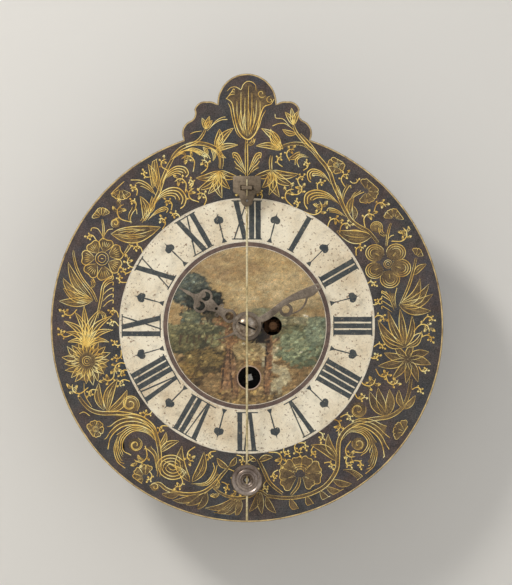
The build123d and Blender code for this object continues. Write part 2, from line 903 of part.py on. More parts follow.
def contrate_wheel():
    """A wheel whose teeth stand on its rim toward the back, square to its arms."""
    outer = contrate_radius + contrate_rim_thick / 2
    inner = contrate_radius - contrate_rim_thick / 2
    disc = Circle(outer) - crossings(inner - 1.2, 4.4, 4, arm_width) - Circle(2.4 + seat_gap)
    wheel = slab(disc, contrate_front, contrate_front + contrate_disc_thick)
    wheel += slab(Circle(outer) - Circle(inner), contrate_front, contrate_tip_y)
    pitch = pi * train_module
    root_half = pitch * (1 - wheel_form["root"]) / 2
    tip_half = pitch * (1 - wheel_form["tip"]) / 2
    above = 0.4
    flare = (tip_half - root_half) * above / (contrate_tip_y - contrate_root_y)
    gap = make_face(Polyline(
        (-root_half, contrate_root_y),
        (root_half, contrate_root_y),
        (tip_half + flare, contrate_tip_y + above),
        (-tip_half - flare, contrate_tip_y + above),
        close=True,
    ))
    cutter = Pos(0, 0, contrate_radius - contrate_rim_thick) * extrude(gap, 2 * contrate_rim_thick)
    turn = 360 / contrate_teeth
    wheel -= [Rot(0, turn * (i + 0.5), 0) * cutter for i in range(contrate_teeth)]
    return Pos(0, 0, contrate_z) * wheel


def crown_arbor():
    """The upright arbor: foot pivot, pinion, journal in the upper potence and the crown wheel's seat."""
    profile = [
        (0, lower_potence_top - 1.4),
        (crown_pivot, lower_potence_top - 1.4),
        (crown_pivot, lower_potence_top + end_shake),
        (crown_arbor_radius, lower_potence_top + end_shake),
        (crown_arbor_radius, crown_disc_z + crown_disc_thick + 0.6),
        (0, crown_disc_z + crown_disc_thick + 0.6),
    ]
    arbor = Rot(90, 0, 0) * turned(profile)
    phase = -90 + 180 / crown_pinion_leaves
    leaves = gear(crown_pinion_leaves, train_module, pinion_form, phase)
    arbor += Pos(0, 0, crown_pinion_z - 2.2) * extrude(leaves, 4.4)
    return Pos(0, crown_y, 0) * arbor


def crown_collet():
    ring = Pos(0, 0, upper_potence_top + end_shake) * Cylinder(
        2.6, crown_disc_z - upper_potence_top - end_shake, align=(Align.CENTER, Align.CENTER, Align.MIN))
    ring += Pos(0, 0, crown_disc_z) * Cylinder(
        1.9, crown_disc_thick, align=(Align.CENTER, Align.CENTER, Align.MIN))
    bore = Cylinder(crown_arbor_radius + seat_gap, 4 * crown_disc_z)
    return Pos(0, crown_y, 0) * (ring - bore)


def crown_wheel():
    """The escape wheel: an odd number of saw teeth standing on a band."""
    inner = crown_radius - crown_rim_thick
    disc = Circle(crown_radius) - crossings(inner - 0.8, 3.4, 3, 1.6, 90) - Circle(1.9 + seat_gap)
    wheel = Pos(0, 0, crown_disc_z) * extrude(disc, crown_disc_thick)
    height = crown_tip_z - crown_disc_z
    wheel += Pos(0, 0, crown_disc_z) * extrude(Circle(crown_radius) - Circle(inner), height)
    pitch = 2 * pi * (crown_radius - crown_rim_thick / 2) / crown_teeth
    above = 0.5
    gap = make_face(Plane.XZ * Polyline(
        (0.14, crown_band_z),
        (0.5, crown_band_z),
        (pitch - 0.14, crown_tip_z),
        (pitch - 0.14, crown_tip_z + above),
        (0.14, crown_tip_z + above),
        close=True,
    ))
    cutter = extrude(gap, 3 * crown_rim_thick, dir=(0, -1, 0))
    cutter = Pos(0, -crown_radius + 2 * crown_rim_thick, 0) * cutter
    turn = 360 / crown_teeth
    wheel -= [Rot(0, 0, turn * i) * cutter for i in range(crown_teeth)]
    return Pos(0, crown_y, 0) * wheel


def verge():
    """The verge, across the crown wheel, with a pallet over each side of it."""
    staff = turned([
        (0, back_cock_face + back_cock_thick + 0.2),
        (verge_pivot, back_cock_face + back_cock_thick + 0.2),
        (verge_pivot, back_cock_face - end_shake),
        (verge_radius, back_cock_face - end_shake),
        (verge_radius, cock_rear + end_shake),
        (verge_pivot, cock_rear + end_shake),
        (verge_pivot, cock_front + verge_sink),
        (0, cock_front + verge_sink),
    ])
    pallet = Pos(0, 0, -pallet_reach / 2) * Box(pallet_thick, pallet_length, pallet_reach)
    reach = crown_radius - crown_rim_thick / 2
    front = Pos(0, crown_y - reach, 0) * Rot(0, pallet_angle, 0) * pallet
    rear = Pos(0, crown_y + reach, 0) * Rot(0, -pallet_angle, 0) * pallet
    return Pos(0, 0, verge_height) * (staff + front + rear)


def rod_collet():
    """The brass collet that holds the wire under the verge."""
    half = rod_collet_length / 2
    collet = bar(rod_collet_radius, rod_y - half, rod_y + half)
    collet -= bar(verge_radius + seat_gap, rod_y - half - 1, rod_y + half + 1)
    depth = 2 * (rod_collet_radius - rod_start)
    hole = Pos(0, rod_y, -rod_collet_radius) * Cylinder(rod_radius + seat_gap, depth)
    return Pos(0, 0, verge_height) * (collet - hole)


def pendulum_rod():
    """The bent wire: down behind the cock, forward over the hands in a long bow, and through the bob."""
    end = verge_height - pendulum_length - rod_tail
    points = [
        (0, rod_y, verge_height - rod_start),
        (0, rod_y, verge_height - rod_kink_top),
        (0, cock_rear - rod_out, verge_height - rod_kink_low),
        (0, dial_front - rod_bow, 0),
        (0, (bob_y + dial_front - rod_bow) / 2, bob_z * 0.6),
        (0, bob_y, bob_z + 2.4 * bob_radius),
        (0, bob_y, end),
    ]
    bends = [3.6, 5.0, 260.0, 200.0, 160.0]
    wire = FilletPolyline(*points, radius=bends)
    section = Plane(origin=points[0], z_dir=(0, 0, -1)) * Circle(rod_radius)
    return sweep(section, path=wire)


def pendulum_bob():
    """The turned bob: a rounded rim, a groove, a sloping ring, and a bead round a cup the wire shows in."""
    face = bob_front
    rear = bob_y + bob_thick / 2
    floor = bob_y + rod_radius + bob_cup_clear
    wire = bob_y - rod_radius
    bob = turned([
        (0, rear),
        (bob_radius - 2.2, rear),
        (bob_radius - 0.7, rear - 0.9),
        (bob_radius, rear - 2.2),
        (bob_radius, face + 1.9),
        (bob_radius - 0.6, face + 0.9),
        (bob_groove_radius + 1.1, face + 0.7),
        (bob_groove_radius + 0.3, face + 1.2),
        (bob_groove_radius, face + 1.6),
        (bob_groove_radius - 0.6, face + 1.3),
        (bob_bead_radius + 0.9, face + 0.9),
        (bob_bead_radius + 0.4, face + 0.2),
        (bob_bead_radius - 0.2, face),
        (bob_bead_radius - 0.6, face + 0.3),
        (bob_cup_radius, face + 0.8),
        (bob_cup_radius - 0.5, face + 1.5),
        (bob_cup_floor + 1.0, wire),
        (bob_cup_floor, floor),
        (0, floor),
    ])
    bob -= bar(bob_screw_radius + seat_gap, bob_y, rear)
    bob -= Pos(0, bob_y, 0) * Cylinder(rod_radius + seat_gap, 3 * bob_radius)
    return Pos(0, 0, bob_z) * bob


def bob_screw():
    """The slotted screw that clamps the wire from behind the bob."""
    seat = bob_y + bob_thick / 2
    top = seat + bob_screw_thick
    screw = turned([
        (0, bob_y + rod_radius),
        (bob_screw_radius, bob_y + rod_radius),
        (bob_screw_radius, seat),
        (bob_screw_head, seat),
        (bob_screw_head, top - 0.6),
        (bob_screw_head - 0.7, top),
        (0, top),
    ])
    slot = Pos(0, top, 0) * Box(screw_slot, 2 * slot_depth, 3 * bob_screw_head)
    return Pos(0, 0, bob_z) * (screw - slot)


def front_cock():
    """The shouldered cock in front of the dial, slotted for the stud's tenon."""
    half = [
        Polyline((0, cock_top), (cock_half, cock_top), (cock_half, cock_shoulder + 2.6)),
        ThreePointArc(
            (cock_half, cock_shoulder + 2.6),
            (cock_half - 0.75, cock_shoulder + 0.7),
            (cock_half - 2.6, cock_shoulder),
        ),
        ThreePointArc(
            (cock_half - 2.6, cock_shoulder),
            (cock_tongue_half + 0.55, cock_shoulder - 0.75),
            (cock_tongue_half, cock_shoulder - 2.6),
        ),
        Line((cock_tongue_half, cock_shoulder - 2.6), (cock_tongue_end, verge_height)),
        ThreePointArc(
            (cock_tongue_end, verge_height),
            polar_from(0, verge_height, cock_tongue_end, -45),
            (0, verge_height - cock_tongue_end),
        ),
    ]
    outline = make_face(half + [mirror(edge, Plane.YZ) for edge in half])
    outline -= Pos(0, stud_z) * Rectangle(cock_slot_width, cock_slot_height)
    outline -= Pos(0, verge_height) * Circle(verge_pivot + running_gap)
    return slab(outline, cock_front, cock_rear)


def polar_from(x, z, radius, angle):
    along, up = polar(radius, angle)
    return (x + along, z + up)


def cock_stud():
    """The stud that stands on the front plate, passes the dial and holds the cock by a pinned tenon."""
    stud = slab(Rectangle(stud_width, stud_height), cock_rear, front_face)
    stud += bar(stud_height / 2 - 0.4, front_face, front_rear)
    stud += slab(Rectangle(tenon_width, tenon_height), cock_front - tenon_out, cock_rear)
    stud -= Pos(0, cock_front - cock_pin_radius, 0) * Cylinder(cock_pin_radius, 2 * stud_height)
    return Pos(0, 0, stud_z) * stud


def cock_pin():
    """The upright taper pin in front of the cock."""
    pin = Cone(cock_pin_radius - pin_taper, cock_pin_radius, cock_pin_length)
    return Pos(0, cock_front - cock_pin_radius, stud_z) * pin


def cannon():
    """The minute hand's pipe with its wheel, a square for the hand and an end for the nut."""
    rear = front_face - end_shake
    pipe = bar(cannon_radius, cannon_end, rear)
    teeth = gear(cannon_teeth, cannon_module, wheel_form, 0)
    pipe += slab(teeth, cannon_front, cannon_front + motion_thick)
    flats = slab(Circle(2 * cannon_radius) - Rectangle(cannon_square, cannon_square),
                 minute_hand_front, minute_hand_rear)
    pipe -= Rot(0, minute_hand_angle, 0) * flats
    return pipe - bar(centre_journal + running_gap, cannon_end - 1, rear + 1)


def minute_stud():
    """The fixed stud on the front plate that the minute wheel turns on."""
    return turned([
        (0, front_rear),
        (stud_cap_radius - 1.1, front_rear),
        (stud_cap_radius - 1.1, front_face),
        (stud_radius + 1.4, front_face),
        (stud_radius + 1.4, front_face - motion_gap + end_shake),
        (stud_radius, front_face - motion_gap + end_shake),
        (stud_radius, minute_collar_rear()),
        (1.2, minute_collar_rear()),
        (1.2, minute_collar_rear() - 3.0),
        (0, minute_collar_rear() - 3.0),
    ], motion_distance)


def minute_collar_rear():
    return hour_wheel_rear - motion_thick - 1.2


def minute_collar():
    """The collar on the stud's end, seen through the dial's second hole."""
    front = dial_front + 0.5
    rear = minute_collar_rear()
    collar = bar(stud_cap_radius, front, rear) - bar(1.2 + seat_gap, rear - 3.0, rear)
    collar -= Pos(0, front, 0) * Rot(90, 0, 0) * Cone(0.0, 0.7, 1.0)
    return Pos(motion_distance, 0, 0) * collar


def minute_wheel():
    face = gear(minute_teeth, cannon_module, wheel_form, 180 + 180 / minute_teeth)
    rim = minute_teeth * cannon_module / 2 - wheel_rim
    face -= crossings(rim, 4.6, 4, arm_width, 45)
    face -= Circle(2.75 + seat_gap)
    return Pos(motion_distance, 0, 0) * slab(face, cannon_front, cannon_front + motion_thick)


def minute_pinion():
    """The pinion that drives the hour wheel, with a pipe riveted through the minute wheel."""
    rear = front_face - motion_gap
    leaves = gear(minute_pinion_leaves, hour_module, pinion_form, 180 + 180 / minute_pinion_leaves)
    pinion = slab(leaves, minute_collar_rear() + end_shake, cannon_front)
    pinion += bar(2.75, cannon_front, rear)
    pinion -= bar(stud_radius + running_gap, minute_collar_rear() - 1, rear + 1)
    return Pos(motion_distance, 0, 0) * pinion


def hour_wheel():
    """The hour wheel and its pipe, which carries the hour hand in front of the dial."""
    face = gear(hour_teeth, hour_module, wheel_form, 0)
    rim = hour_teeth * hour_module / 2 - wheel_rim
    face -= crossings(rim, 5.4, 4, arm_width, 45)
    wheel = slab(face, hour_wheel_rear - motion_thick, hour_wheel_rear)
    wheel += bar(hour_pipe_radius, hour_hand_rear - hand_thick, hour_wheel_rear)
    return wheel - bar(cannon_radius + running_gap, hour_hand_rear - 2 * hand_thick, hour_wheel_rear + 1)


def hand(outline, angle, rear):
    """A hand drawn pointing up, turned clockwise to its hour."""
    return slab(Rot(0, 0, -angle) * outline, rear - hand_thick, rear)


def crescent(x, z, radius, inner):
    """A half-moon opening, horns up."""
    return Pos(x, z) * Circle(radius) - Pos(x, z + radius - inner * 0.4) * Circle(inner)


def hour_hand():
    """The pierced hour hand: boss, ring, three small eyes, two crescent lobes and a spear point."""
    tip = hour_hand_length
    shoulder = (hour_lobe_x + 2.2, hour_lobe_z + 4.2)
    neck = (hour_point_root, hour_lobe_z + 11.0)
    outline = Circle(hand_boss) + Pos(0, hour_ring_z) * Circle(hour_ring_radius)
    outline += Pos(0, hour_eye_z) * Circle(hour_eye_radius)
    side_eyes = [Pos(side * hour_side_eye_x, hour_side_eye_z) for side in (-1, 1)]
    outline += [place * Circle(hour_side_eye_radius) for place in side_eyes]
    outline += [Pos(side * hour_lobe_x, hour_lobe_z) * Circle(hour_lobe_radius) for side in (-1, 1)]
    outline += make_face(Polyline(
        (-hour_waist, hour_ring_z + 2.0),
        (hour_waist, hour_ring_z + 2.0),
        (hour_eye_radius, hour_eye_z),
        (-hour_eye_radius, hour_eye_z),
        close=True,
    ))
    outline += make_face(Polyline(
        (-hour_eye_radius, hour_eye_z),
        (hour_eye_radius, hour_eye_z),
        (hour_lobe_x + 1.4, hour_lobe_z - 2.4),
        (-hour_lobe_x - 1.4, hour_lobe_z - 2.4),
        close=True,
    ))
    point = [
        ThreePointArc(shoulder, (2.3, hour_lobe_z + 6.2), neck),
        Line(neck, (0, tip)),
    ]
    base = Polyline(
        shoulder,
        (hour_lobe_x, hour_lobe_z),
        (-hour_lobe_x, hour_lobe_z),
        (-shoulder[0], shoulder[1]),
    )
    outline += make_face(point + [mirror(edge, Plane.YZ) for edge in point] + [base])
    outline -= Circle(hour_pipe_radius + seat_gap)
    outline -= Pos(0, hour_ring_z) * Circle(hour_ring_hole)
    outline -= Pos(0, hour_eye_z) * Circle(hour_eye_hole)
    outline -= [place * Circle(hour_side_eye_hole) for place in side_eyes]
    for side in (-1, 1):
        outline -= crescent(side * hour_lobe_x, hour_lobe_z, hour_crescent, hour_crescent_bite)
    return hand(outline, hour_hand_angle, hour_hand_rear)


def minute_hand():
    """The pierced minute hand: a leaf blade with two eyes, an open scroll and a thin curved tail."""
    tip = minute_hand_length
    eye = (minute_eye_x, minute_eye_z)
    point = (0, tip - minute_tip_radius)
    left = Spline(
        (-minute_neck, 7.0),
        (-minute_neck, tip - 41.0),
        (-3.5, tip - 28.0),
        (-3.6, tip - 14.0),
        (-2.2, point[1]),
    )
    right = Spline(
        (1.9, point[1]),
        (3.8, tip - 9.0),
        (2.0, tip - 16.0),
        (0.4, tip - 24.0),
        (2.2, tip - 35.0),
        (minute_neck, 7.0),
    )
    blade = make_face([left, right, Line(left @ 0, right @ 1), Line(left @ 1, right @ 0)])
    outline = Circle(hand_boss) + blade + Pos(*eye) * Circle(minute_eye_radius)
    outline += Pos(*point) * Circle(minute_tip_radius)
    outer_start = (eye[0] + 4.0, eye[1] + 1.0)
    inner_start = (eye[0] + 3.0, eye[1] + 1.0)
    scroll_out = ThreePointArc(outer_start, (8.4, tip - 20.0), (3.2, tip - 11.6))
    scroll_in = ThreePointArc(inner_start, (7.4, tip - 20.4), (2.2, tip - 12.8))
    outline += make_face([
        scroll_out,
        scroll_in,
        Line(scroll_out @ 0, scroll_in @ 0),
        Line(scroll_out @ 1, scroll_in @ 1),
    ])
    tail_left = ThreePointArc((-minute_tail_root, -6), (-0.9, -15), (-2.6, 0.2 - minute_tail_end))
    tail_right = ThreePointArc((minute_tail_root, -6), (0.4, -15), (-2.0, -minute_tail_end))
    outline += make_face([
        tail_left,
        tail_right,
        Line(tail_left @ 0, tail_right @ 0),
        Line(tail_left @ 1, tail_right @ 1),
    ])
    outline -= Rectangle(cannon_square + 2 * seat_gap, cannon_square + 2 * seat_gap)
    outline -= Pos(eye[0] - minute_eye_shift, eye[1]) * Circle(minute_eye_hole)
    outline -= Pos(*point) * Circle(minute_tip_hole)
    return hand(outline, minute_hand_angle, minute_hand_rear)


def hand_nut():
    """The domed, slotted nut on the end of the minute hand's pipe."""
    base = minute_hand_front
    top = base - nut_height
    shoulder = base - 0.9
    dome = ThreePointArc((nut_radius, shoulder), (nut_radius * 0.72, top + 1.0), (0, top))
    sides = Polyline((0, top), (0, base), (nut_radius, base), (nut_radius, shoulder))
    nut = revolve(make_face([dome, sides]), Axis.Y)
    nut -= bar(cannon_radius + seat_gap, cannon_end - 0.1, base)
    slot = Pos(0, top, 0) * Rot(0, -nut_slot_angle, 0) * Box(3 * nut_radius, 2 * slot_depth, nut_slot)
    return nut - slot


pieces = {
    "dial_plate": dial_plate,
    "dial_feet": dial_feet,
    "dial_foot_pins": dial_foot_pins,
    "front_plate": front_plate,
    "back_plate": back_plate,
    "movement_pillars": movement_pillars,
    "pillar_pins": pillar_pins,
    "hanger": hanger,
    "hanger_rivets": hanger_rivets,
    "wall_pegs": wall_pegs,
    "lower_potence": lower_potence,
    "upper_potence": upper_potence,
    "potence_screws": potence_screws,
    "back_cock": back_cock,
    "back_cock_screws": back_cock_screws,
    "cock_stud": cock_stud,
    "front_cock": front_cock,
    "cock_pin": cock_pin,
    "barrel_arbor": barrel_arbor,
    "ratchet_wheel": ratchet_wheel,
    "ratchet_pin": ratchet_pin,
    "click": click,
    "click_screw": click_screw,
    "click_spring": click_spring,
    "click_spring_screw": click_spring_screw,
    "great_wheel": great_wheel,
    "barrel_drum": barrel_drum,
    "barrel_cap": barrel_cap,
    "mainspring": mainspring,
    "centre_arbor": centre_arbor,
    "centre_collet": centre_collet,
    "centre_wheel": centre_wheel,
    "contrate_arbor": contrate_arbor,
    "contrate_collet": contrate_collet,
    "contrate_wheel": contrate_wheel,
    "crown_arbor": crown_arbor,
    "crown_collet": crown_collet,
    "crown_wheel": crown_wheel,
    "verge": verge,
    "rod_collet": rod_collet,
    "pendulum_rod": pendulum_rod,
    "pendulum_bob": pendulum_bob,
    "bob_screw": bob_screw,
    "cannon": cannon,
    "minute_stud": minute_stud,
    "minute_collar": minute_collar,
    "minute_wheel": minute_wheel,
    "minute_pinion": minute_pinion,
    "hour_wheel": hour_wheel,
    "hour_hand": hour_hand,
    "minute_hand": minute_hand,
    "hand_nut": hand_nut,
}

os.makedirs("parts", exist_ok=True)
for name, make in pieces.items():
    export_step(Pos(0, 0, -hang_height) * make(), "parts/" + name + ".step")
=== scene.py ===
import math
import random

import bpy
import numpy as np
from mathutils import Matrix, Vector


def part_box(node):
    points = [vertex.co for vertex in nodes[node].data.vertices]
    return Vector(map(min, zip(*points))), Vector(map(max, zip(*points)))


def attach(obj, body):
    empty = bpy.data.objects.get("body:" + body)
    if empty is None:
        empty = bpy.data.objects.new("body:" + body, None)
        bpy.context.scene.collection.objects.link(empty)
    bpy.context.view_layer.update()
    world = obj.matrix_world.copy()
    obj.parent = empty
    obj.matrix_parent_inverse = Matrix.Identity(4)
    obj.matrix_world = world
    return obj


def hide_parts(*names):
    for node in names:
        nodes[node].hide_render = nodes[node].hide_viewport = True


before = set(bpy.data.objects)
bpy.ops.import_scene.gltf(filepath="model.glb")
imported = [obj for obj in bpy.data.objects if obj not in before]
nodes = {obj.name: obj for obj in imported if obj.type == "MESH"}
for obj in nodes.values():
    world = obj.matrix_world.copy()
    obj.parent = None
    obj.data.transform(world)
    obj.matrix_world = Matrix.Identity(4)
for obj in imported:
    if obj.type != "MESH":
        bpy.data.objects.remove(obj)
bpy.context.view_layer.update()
random.seed(11)

# the dial is drawn on a sheet 512 wide and 585 high, with the hands' centre at (247, 325.8)
sheet = {"middleX": 247.0, "middleY": 325.8, "step": 0.0006875, "handsX": 0.0, "handsZ": -0.113}
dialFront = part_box("dial_plate")[0].y


def onDial(u, v):
    x = sheet["handsX"] + (u - sheet["middleX"]) * sheet["step"]
    z = sheet["handsZ"] + (sheet["middleY"] - v) * sheet["step"]
    return x, z


def deselect():
    if bpy.context.object and bpy.context.object.mode != "OBJECT":
        bpy.ops.object.mode_set(mode="OBJECT")
    bpy.ops.object.select_all(action="DESELECT")


def pick(piece):
    deselect()
    piece.select_set(True)
    bpy.context.view_layer.objects.active = piece


def settle(piece):  # place and turn go into the mesh, so the object sits at the origin
    pick(piece)
    bpy.ops.object.transform_apply(location=True, rotation=True, scale=True)
    return piece


# materials
def startMaterial(name):
    material = bpy.data.materials.new(name)
    material.use_nodes = True
    tree = material.node_tree
    tree.nodes.clear()
    out = tree.nodes.new("ShaderNodeOutputMaterial")
    shader = tree.nodes.new("ShaderNodeBsdfPrincipled")
    tree.links.new(shader.outputs["BSDF"], out.inputs["Surface"])
    place = tree.nodes.new("ShaderNodeTexCoord")
    return material, tree, shader, place.outputs["Object"]


def spots(tree, place, scale, detail=4.0, rough=0.55, twist=0.0):
    node = tree.nodes.new("ShaderNodeTexNoise")
    node.inputs["Scale"].default_value = scale
    node.inputs["Detail"].default_value = detail
    node.inputs["Roughness"].default_value = rough
    node.inputs["Distortion"].default_value = twist
    tree.links.new(place, node.inputs["Vector"])
    return node.outputs["Fac"]


def ramp(tree, value, stops):
    node = tree.nodes.new("ShaderNodeValToRGB")
    while len(node.color_ramp.elements) < len(stops):
        node.color_ramp.elements.new(0.5)
    for element, (spot, colour) in zip(node.color_ramp.elements, stops):
        element.position = spot
        if isinstance(colour, (int, float)):
            colour = (colour, colour, colour)
        element.color = (*colour, 1)
    tree.links.new(value, node.inputs["Fac"])
    return node.outputs["Color"]


def blended(tree, value, low, high, mode="MIX"):
    node = tree.nodes.new("ShaderNodeMix")
    node.data_type = "RGBA"
    node.blend_type = mode
    for socket, given in ((node.inputs[0], value), (node.inputs[6], low), (node.inputs[7], high)):
        if isinstance(given, tuple):
            socket.default_value = (*given, 1)
        elif isinstance(given, (int, float)):
            socket.default_value = given
        else:
            tree.links.new(given, socket)
    return node.outputs[2]


def times(tree, tone, mask):
    return blended(tree, 1.0, tone, mask, "MULTIPLY")


def relief(tree, shader, height, strength, distance=0.0001):
    node = tree.nodes.new("ShaderNodeBump")
    node.inputs["Strength"].default_value = strength
    node.inputs["Distance"].default_value = distance
    tree.links.new(height, node.inputs["Height"])
    tree.links.new(node.outputs["Normal"], shader.inputs["Normal"])


def paint(red, green, blue):  # a colour as a screen shows it, 0 to 255
    parts = []
    for part in (red, green, blue):
        share = part / 255
        parts.append(share / 12.92 if share <= 0.04045 else ((share + 0.055) / 1.055) ** 2.4)
    return tuple(parts)


def coat(tree, shader, tone, gloss, height, strength):
    tree.links.new(tone, shader.inputs["Base Color"])
    tree.links.new(gloss, shader.inputs["Roughness"])
    relief(tree, shader, height, strength)


def metalFinish(name, tones, metallic, gloss, grain, dent):
    material, tree, shader, place = startMaterial(name)
    broad = spots(tree, place, grain * 0.18, 5, 0.6)
    fine = spots(tree, place, grain * 2.2, 6, 0.65)
    colour = ramp(tree, broad, [(spot, paint(*tone)) for spot, tone in zip((0.3, 0.5, 0.72), tones)])
    speck = ramp(tree, fine, ((0.34, 0.55), (0.5, 0.95), (0.75, 1.1)))
    shader.inputs["Metallic"].default_value = metallic
    shine = ramp(tree, fine, ((0.3, min(1, gloss + 0.18)), (0.7, gloss)))
    coat(tree, shader, times(tree, colour, speck), shine, fine, dent)
    return material


def dress(piece, finish):
    piece.data.materials.clear()
    piece.data.materials.append(finish)


print("materials")
metals = {  # tones from the hollows up; then metallic, roughness, grain and dent
    "frameIron": {
        "tones": ((58, 54, 52), (92, 88, 84), (120, 114, 106)), "surface": (0.75, 0.45, 220, 0.25),
        "nodes": (
            "movement_pillars", "hanger", "hanger_rivets", "wall_pegs", "dial_feet", "lower_potence",
            "upper_potence", "back_cock",
        ),
    },
    # painted shade: the plates are near black so that the winding hole reads as a shadowed hollow
    "ironBlackedForShade": {
        "tones": ((12, 11, 10), (22, 20, 18), (34, 31, 28)), "surface": (0.15, 0.75, 220, 0.25),
        "nodes": ("front_plate", "back_plate"),
    },
    # painted shade: the ratchet, seen through the winding hole, is near black to read as shadow
    "steelBlackedForShade": {
        "tones": ((16, 14, 12), (28, 25, 22), (44, 39, 34)), "surface": (0.3, 0.6, 220, 0.25),
        "nodes": ("ratchet_wheel", "ratchet_pin"),
    },
    "cockIron": {
        "tones": ((96, 82, 64), (134, 118, 98), (166, 148, 124)), "surface": (0.45, 0.45, 300, 0.35),
        "nodes": ("front_cock", "cock_stud"),
    },
    "steel": {
        "tones": ((128, 122, 116), (168, 165, 160), (200, 198, 194)), "surface": (0.9, 0.28, 260, 0.12),
        "nodes": (
            "pillar_pins", "dial_foot_pins", "potence_screws", "back_cock_screws", "barrel_arbor", "click",
            "click_screw", "click_spring_screw", "centre_arbor", "contrate_arbor", "crown_arbor", "verge",
            "bob_screw",
        ),
    },
    "springSteel": {
        "tones": ((62, 68, 92), (88, 98, 128), (126, 132, 150)), "surface": (0.9, 0.28, 200, 0.1),
        "nodes": ("click_spring", "mainspring"),
    },
    "brass": {
        "tones": ((150, 112, 58), (190, 150, 84), (216, 182, 116)), "surface": (0.9, 0.3, 180, 0.12),
        "nodes": (
            "great_wheel", "barrel_drum", "barrel_cap", "centre_collet", "centre_wheel", "contrate_collet",
            "contrate_wheel", "crown_collet", "crown_wheel", "rod_collet", "cannon",
        ),
    },
    # tarnished brass, darkened further as painted shade: the motion work seen through the second hole reads as a
    # shadowed recess
    "tarnishedBrassAndShade": {
        "tones": ((52, 36, 24), (88, 60, 38), (124, 90, 56)), "surface": (0.6, 0.5, 320, 0.3),
        "nodes": ("minute_wheel", "minute_pinion", "hour_wheel", "minute_stud", "minute_collar"),
    },
    "bobMetal": {
        "tones": ((120, 104, 94), (164, 150, 140), (206, 194, 184)), "surface": (0.85, 0.26, 300, 0.18),
        "nodes": ("pendulum_bob",),
    },
    "wire": {
        "tones": ((176, 154, 108), (220, 204, 158), (246, 236, 204)), "surface": (0.55, 0.34, 300, 0.1),
        "nodes": ("pendulum_rod", "cock_pin"),
    },
    "handIron": {
        "tones": ((84, 73, 62), (124, 111, 97), (164, 150, 133)), "surface": (0.4, 0.4, 420, 0.35),
        "nodes": ("hour_hand", "minute_hand"),
    },
    "nutSteel": {
        "tones": ((70, 52, 38), (160, 144, 126), (236, 226, 214)), "surface": (0.85, 0.22, 700, 0.3),
        "nodes": ("hand_nut",),
    },
}
for finishName, metal in metals.items():
    finish = metalFinish(finishName, metal["tones"], *metal["surface"])
    for node in metal["nodes"]:
        dress(nodes[node], finish)


def darkGround():  # smoke-dark oil paint over iron
    material, tree, shader, place = startMaterial("darkGround")
    cloud = spots(tree, place, 26, 5, 0.6)
    blot = spots(tree, place, 90, 6, 0.65, 0.4)
    grit = spots(tree, place, 1050, 4, 0.75)
    clouds = (
        (0.3, paint(58, 62, 68)), (0.44, paint(70, 67, 66)), (0.56, paint(82, 69, 65)),
        (0.7, paint(62, 65, 72)),
    )
    tone = times(tree, ramp(tree, cloud, clouds), ramp(tree, blot, ((0.3, 0.6), (0.5, 1.0), (0.7, 1.3))))
    dust = ramp(tree, grit, ((0.38, 0.45), (0.5, 0.95), (0.62, 1.5), (0.74, 2.4)))
    shader.inputs["Specular IOR Level"].default_value = 0.35
    coat(tree, shader, times(tree, tone, dust), ramp(tree, blot, ((0.3, 0.62), (0.7, 0.42))), grit, 0.22)
    return material


def goldPaint():  # ochre size in the hollows, leaf gold where it is sound
    material, tree, shader, place = startMaterial("goldPaint")
    wear = spots(tree, place, 120, 5, 0.6)
    flake = spots(tree, place, 900, 4, 0.7)
    leafTones = (
        (0.3, paint(176, 130, 56)), (0.42, paint(228, 184, 86)), (0.52, paint(252, 218, 122)),
        (0.64, paint(255, 242, 176)),
    )
    chip = ramp(tree, flake, ((0.33, 0.6), (0.45, 0.97), (0.7, 1.1)))
    shader.inputs["Metallic"].default_value = 0.05
    shine = ramp(tree, flake, ((0.3, 0.6), (0.7, 0.36)))
    coat(tree, shader, times(tree, ramp(tree, wear, leafTones), chip), shine, flake, 0.2)
    return material


def brownWash():  # thin brown size inside leaves and petals
    material, tree, shader, place = startMaterial("brownWash")
    cloud = spots(tree, place, 110, 5, 0.65)
    grit = spots(tree, place, 1400, 4, 0.7)
    tone = ramp(tree, cloud, ((0.3, paint(74, 62, 52)), (0.5, paint(102, 84, 60)), (0.7, paint(138, 114, 74))))
    dust = ramp(tree, grit, ((0.38, 0.55), (0.5, 1.0), (0.7, 1.5)))
    shader.inputs["Specular IOR Level"].default_value = 0.3
    shader.inputs["Roughness"].default_value = 0.55
    tree.links.new(times(tree, tone, dust), shader.inputs["Base Color"])
    relief(tree, shader, grit, 0.2)
    return material


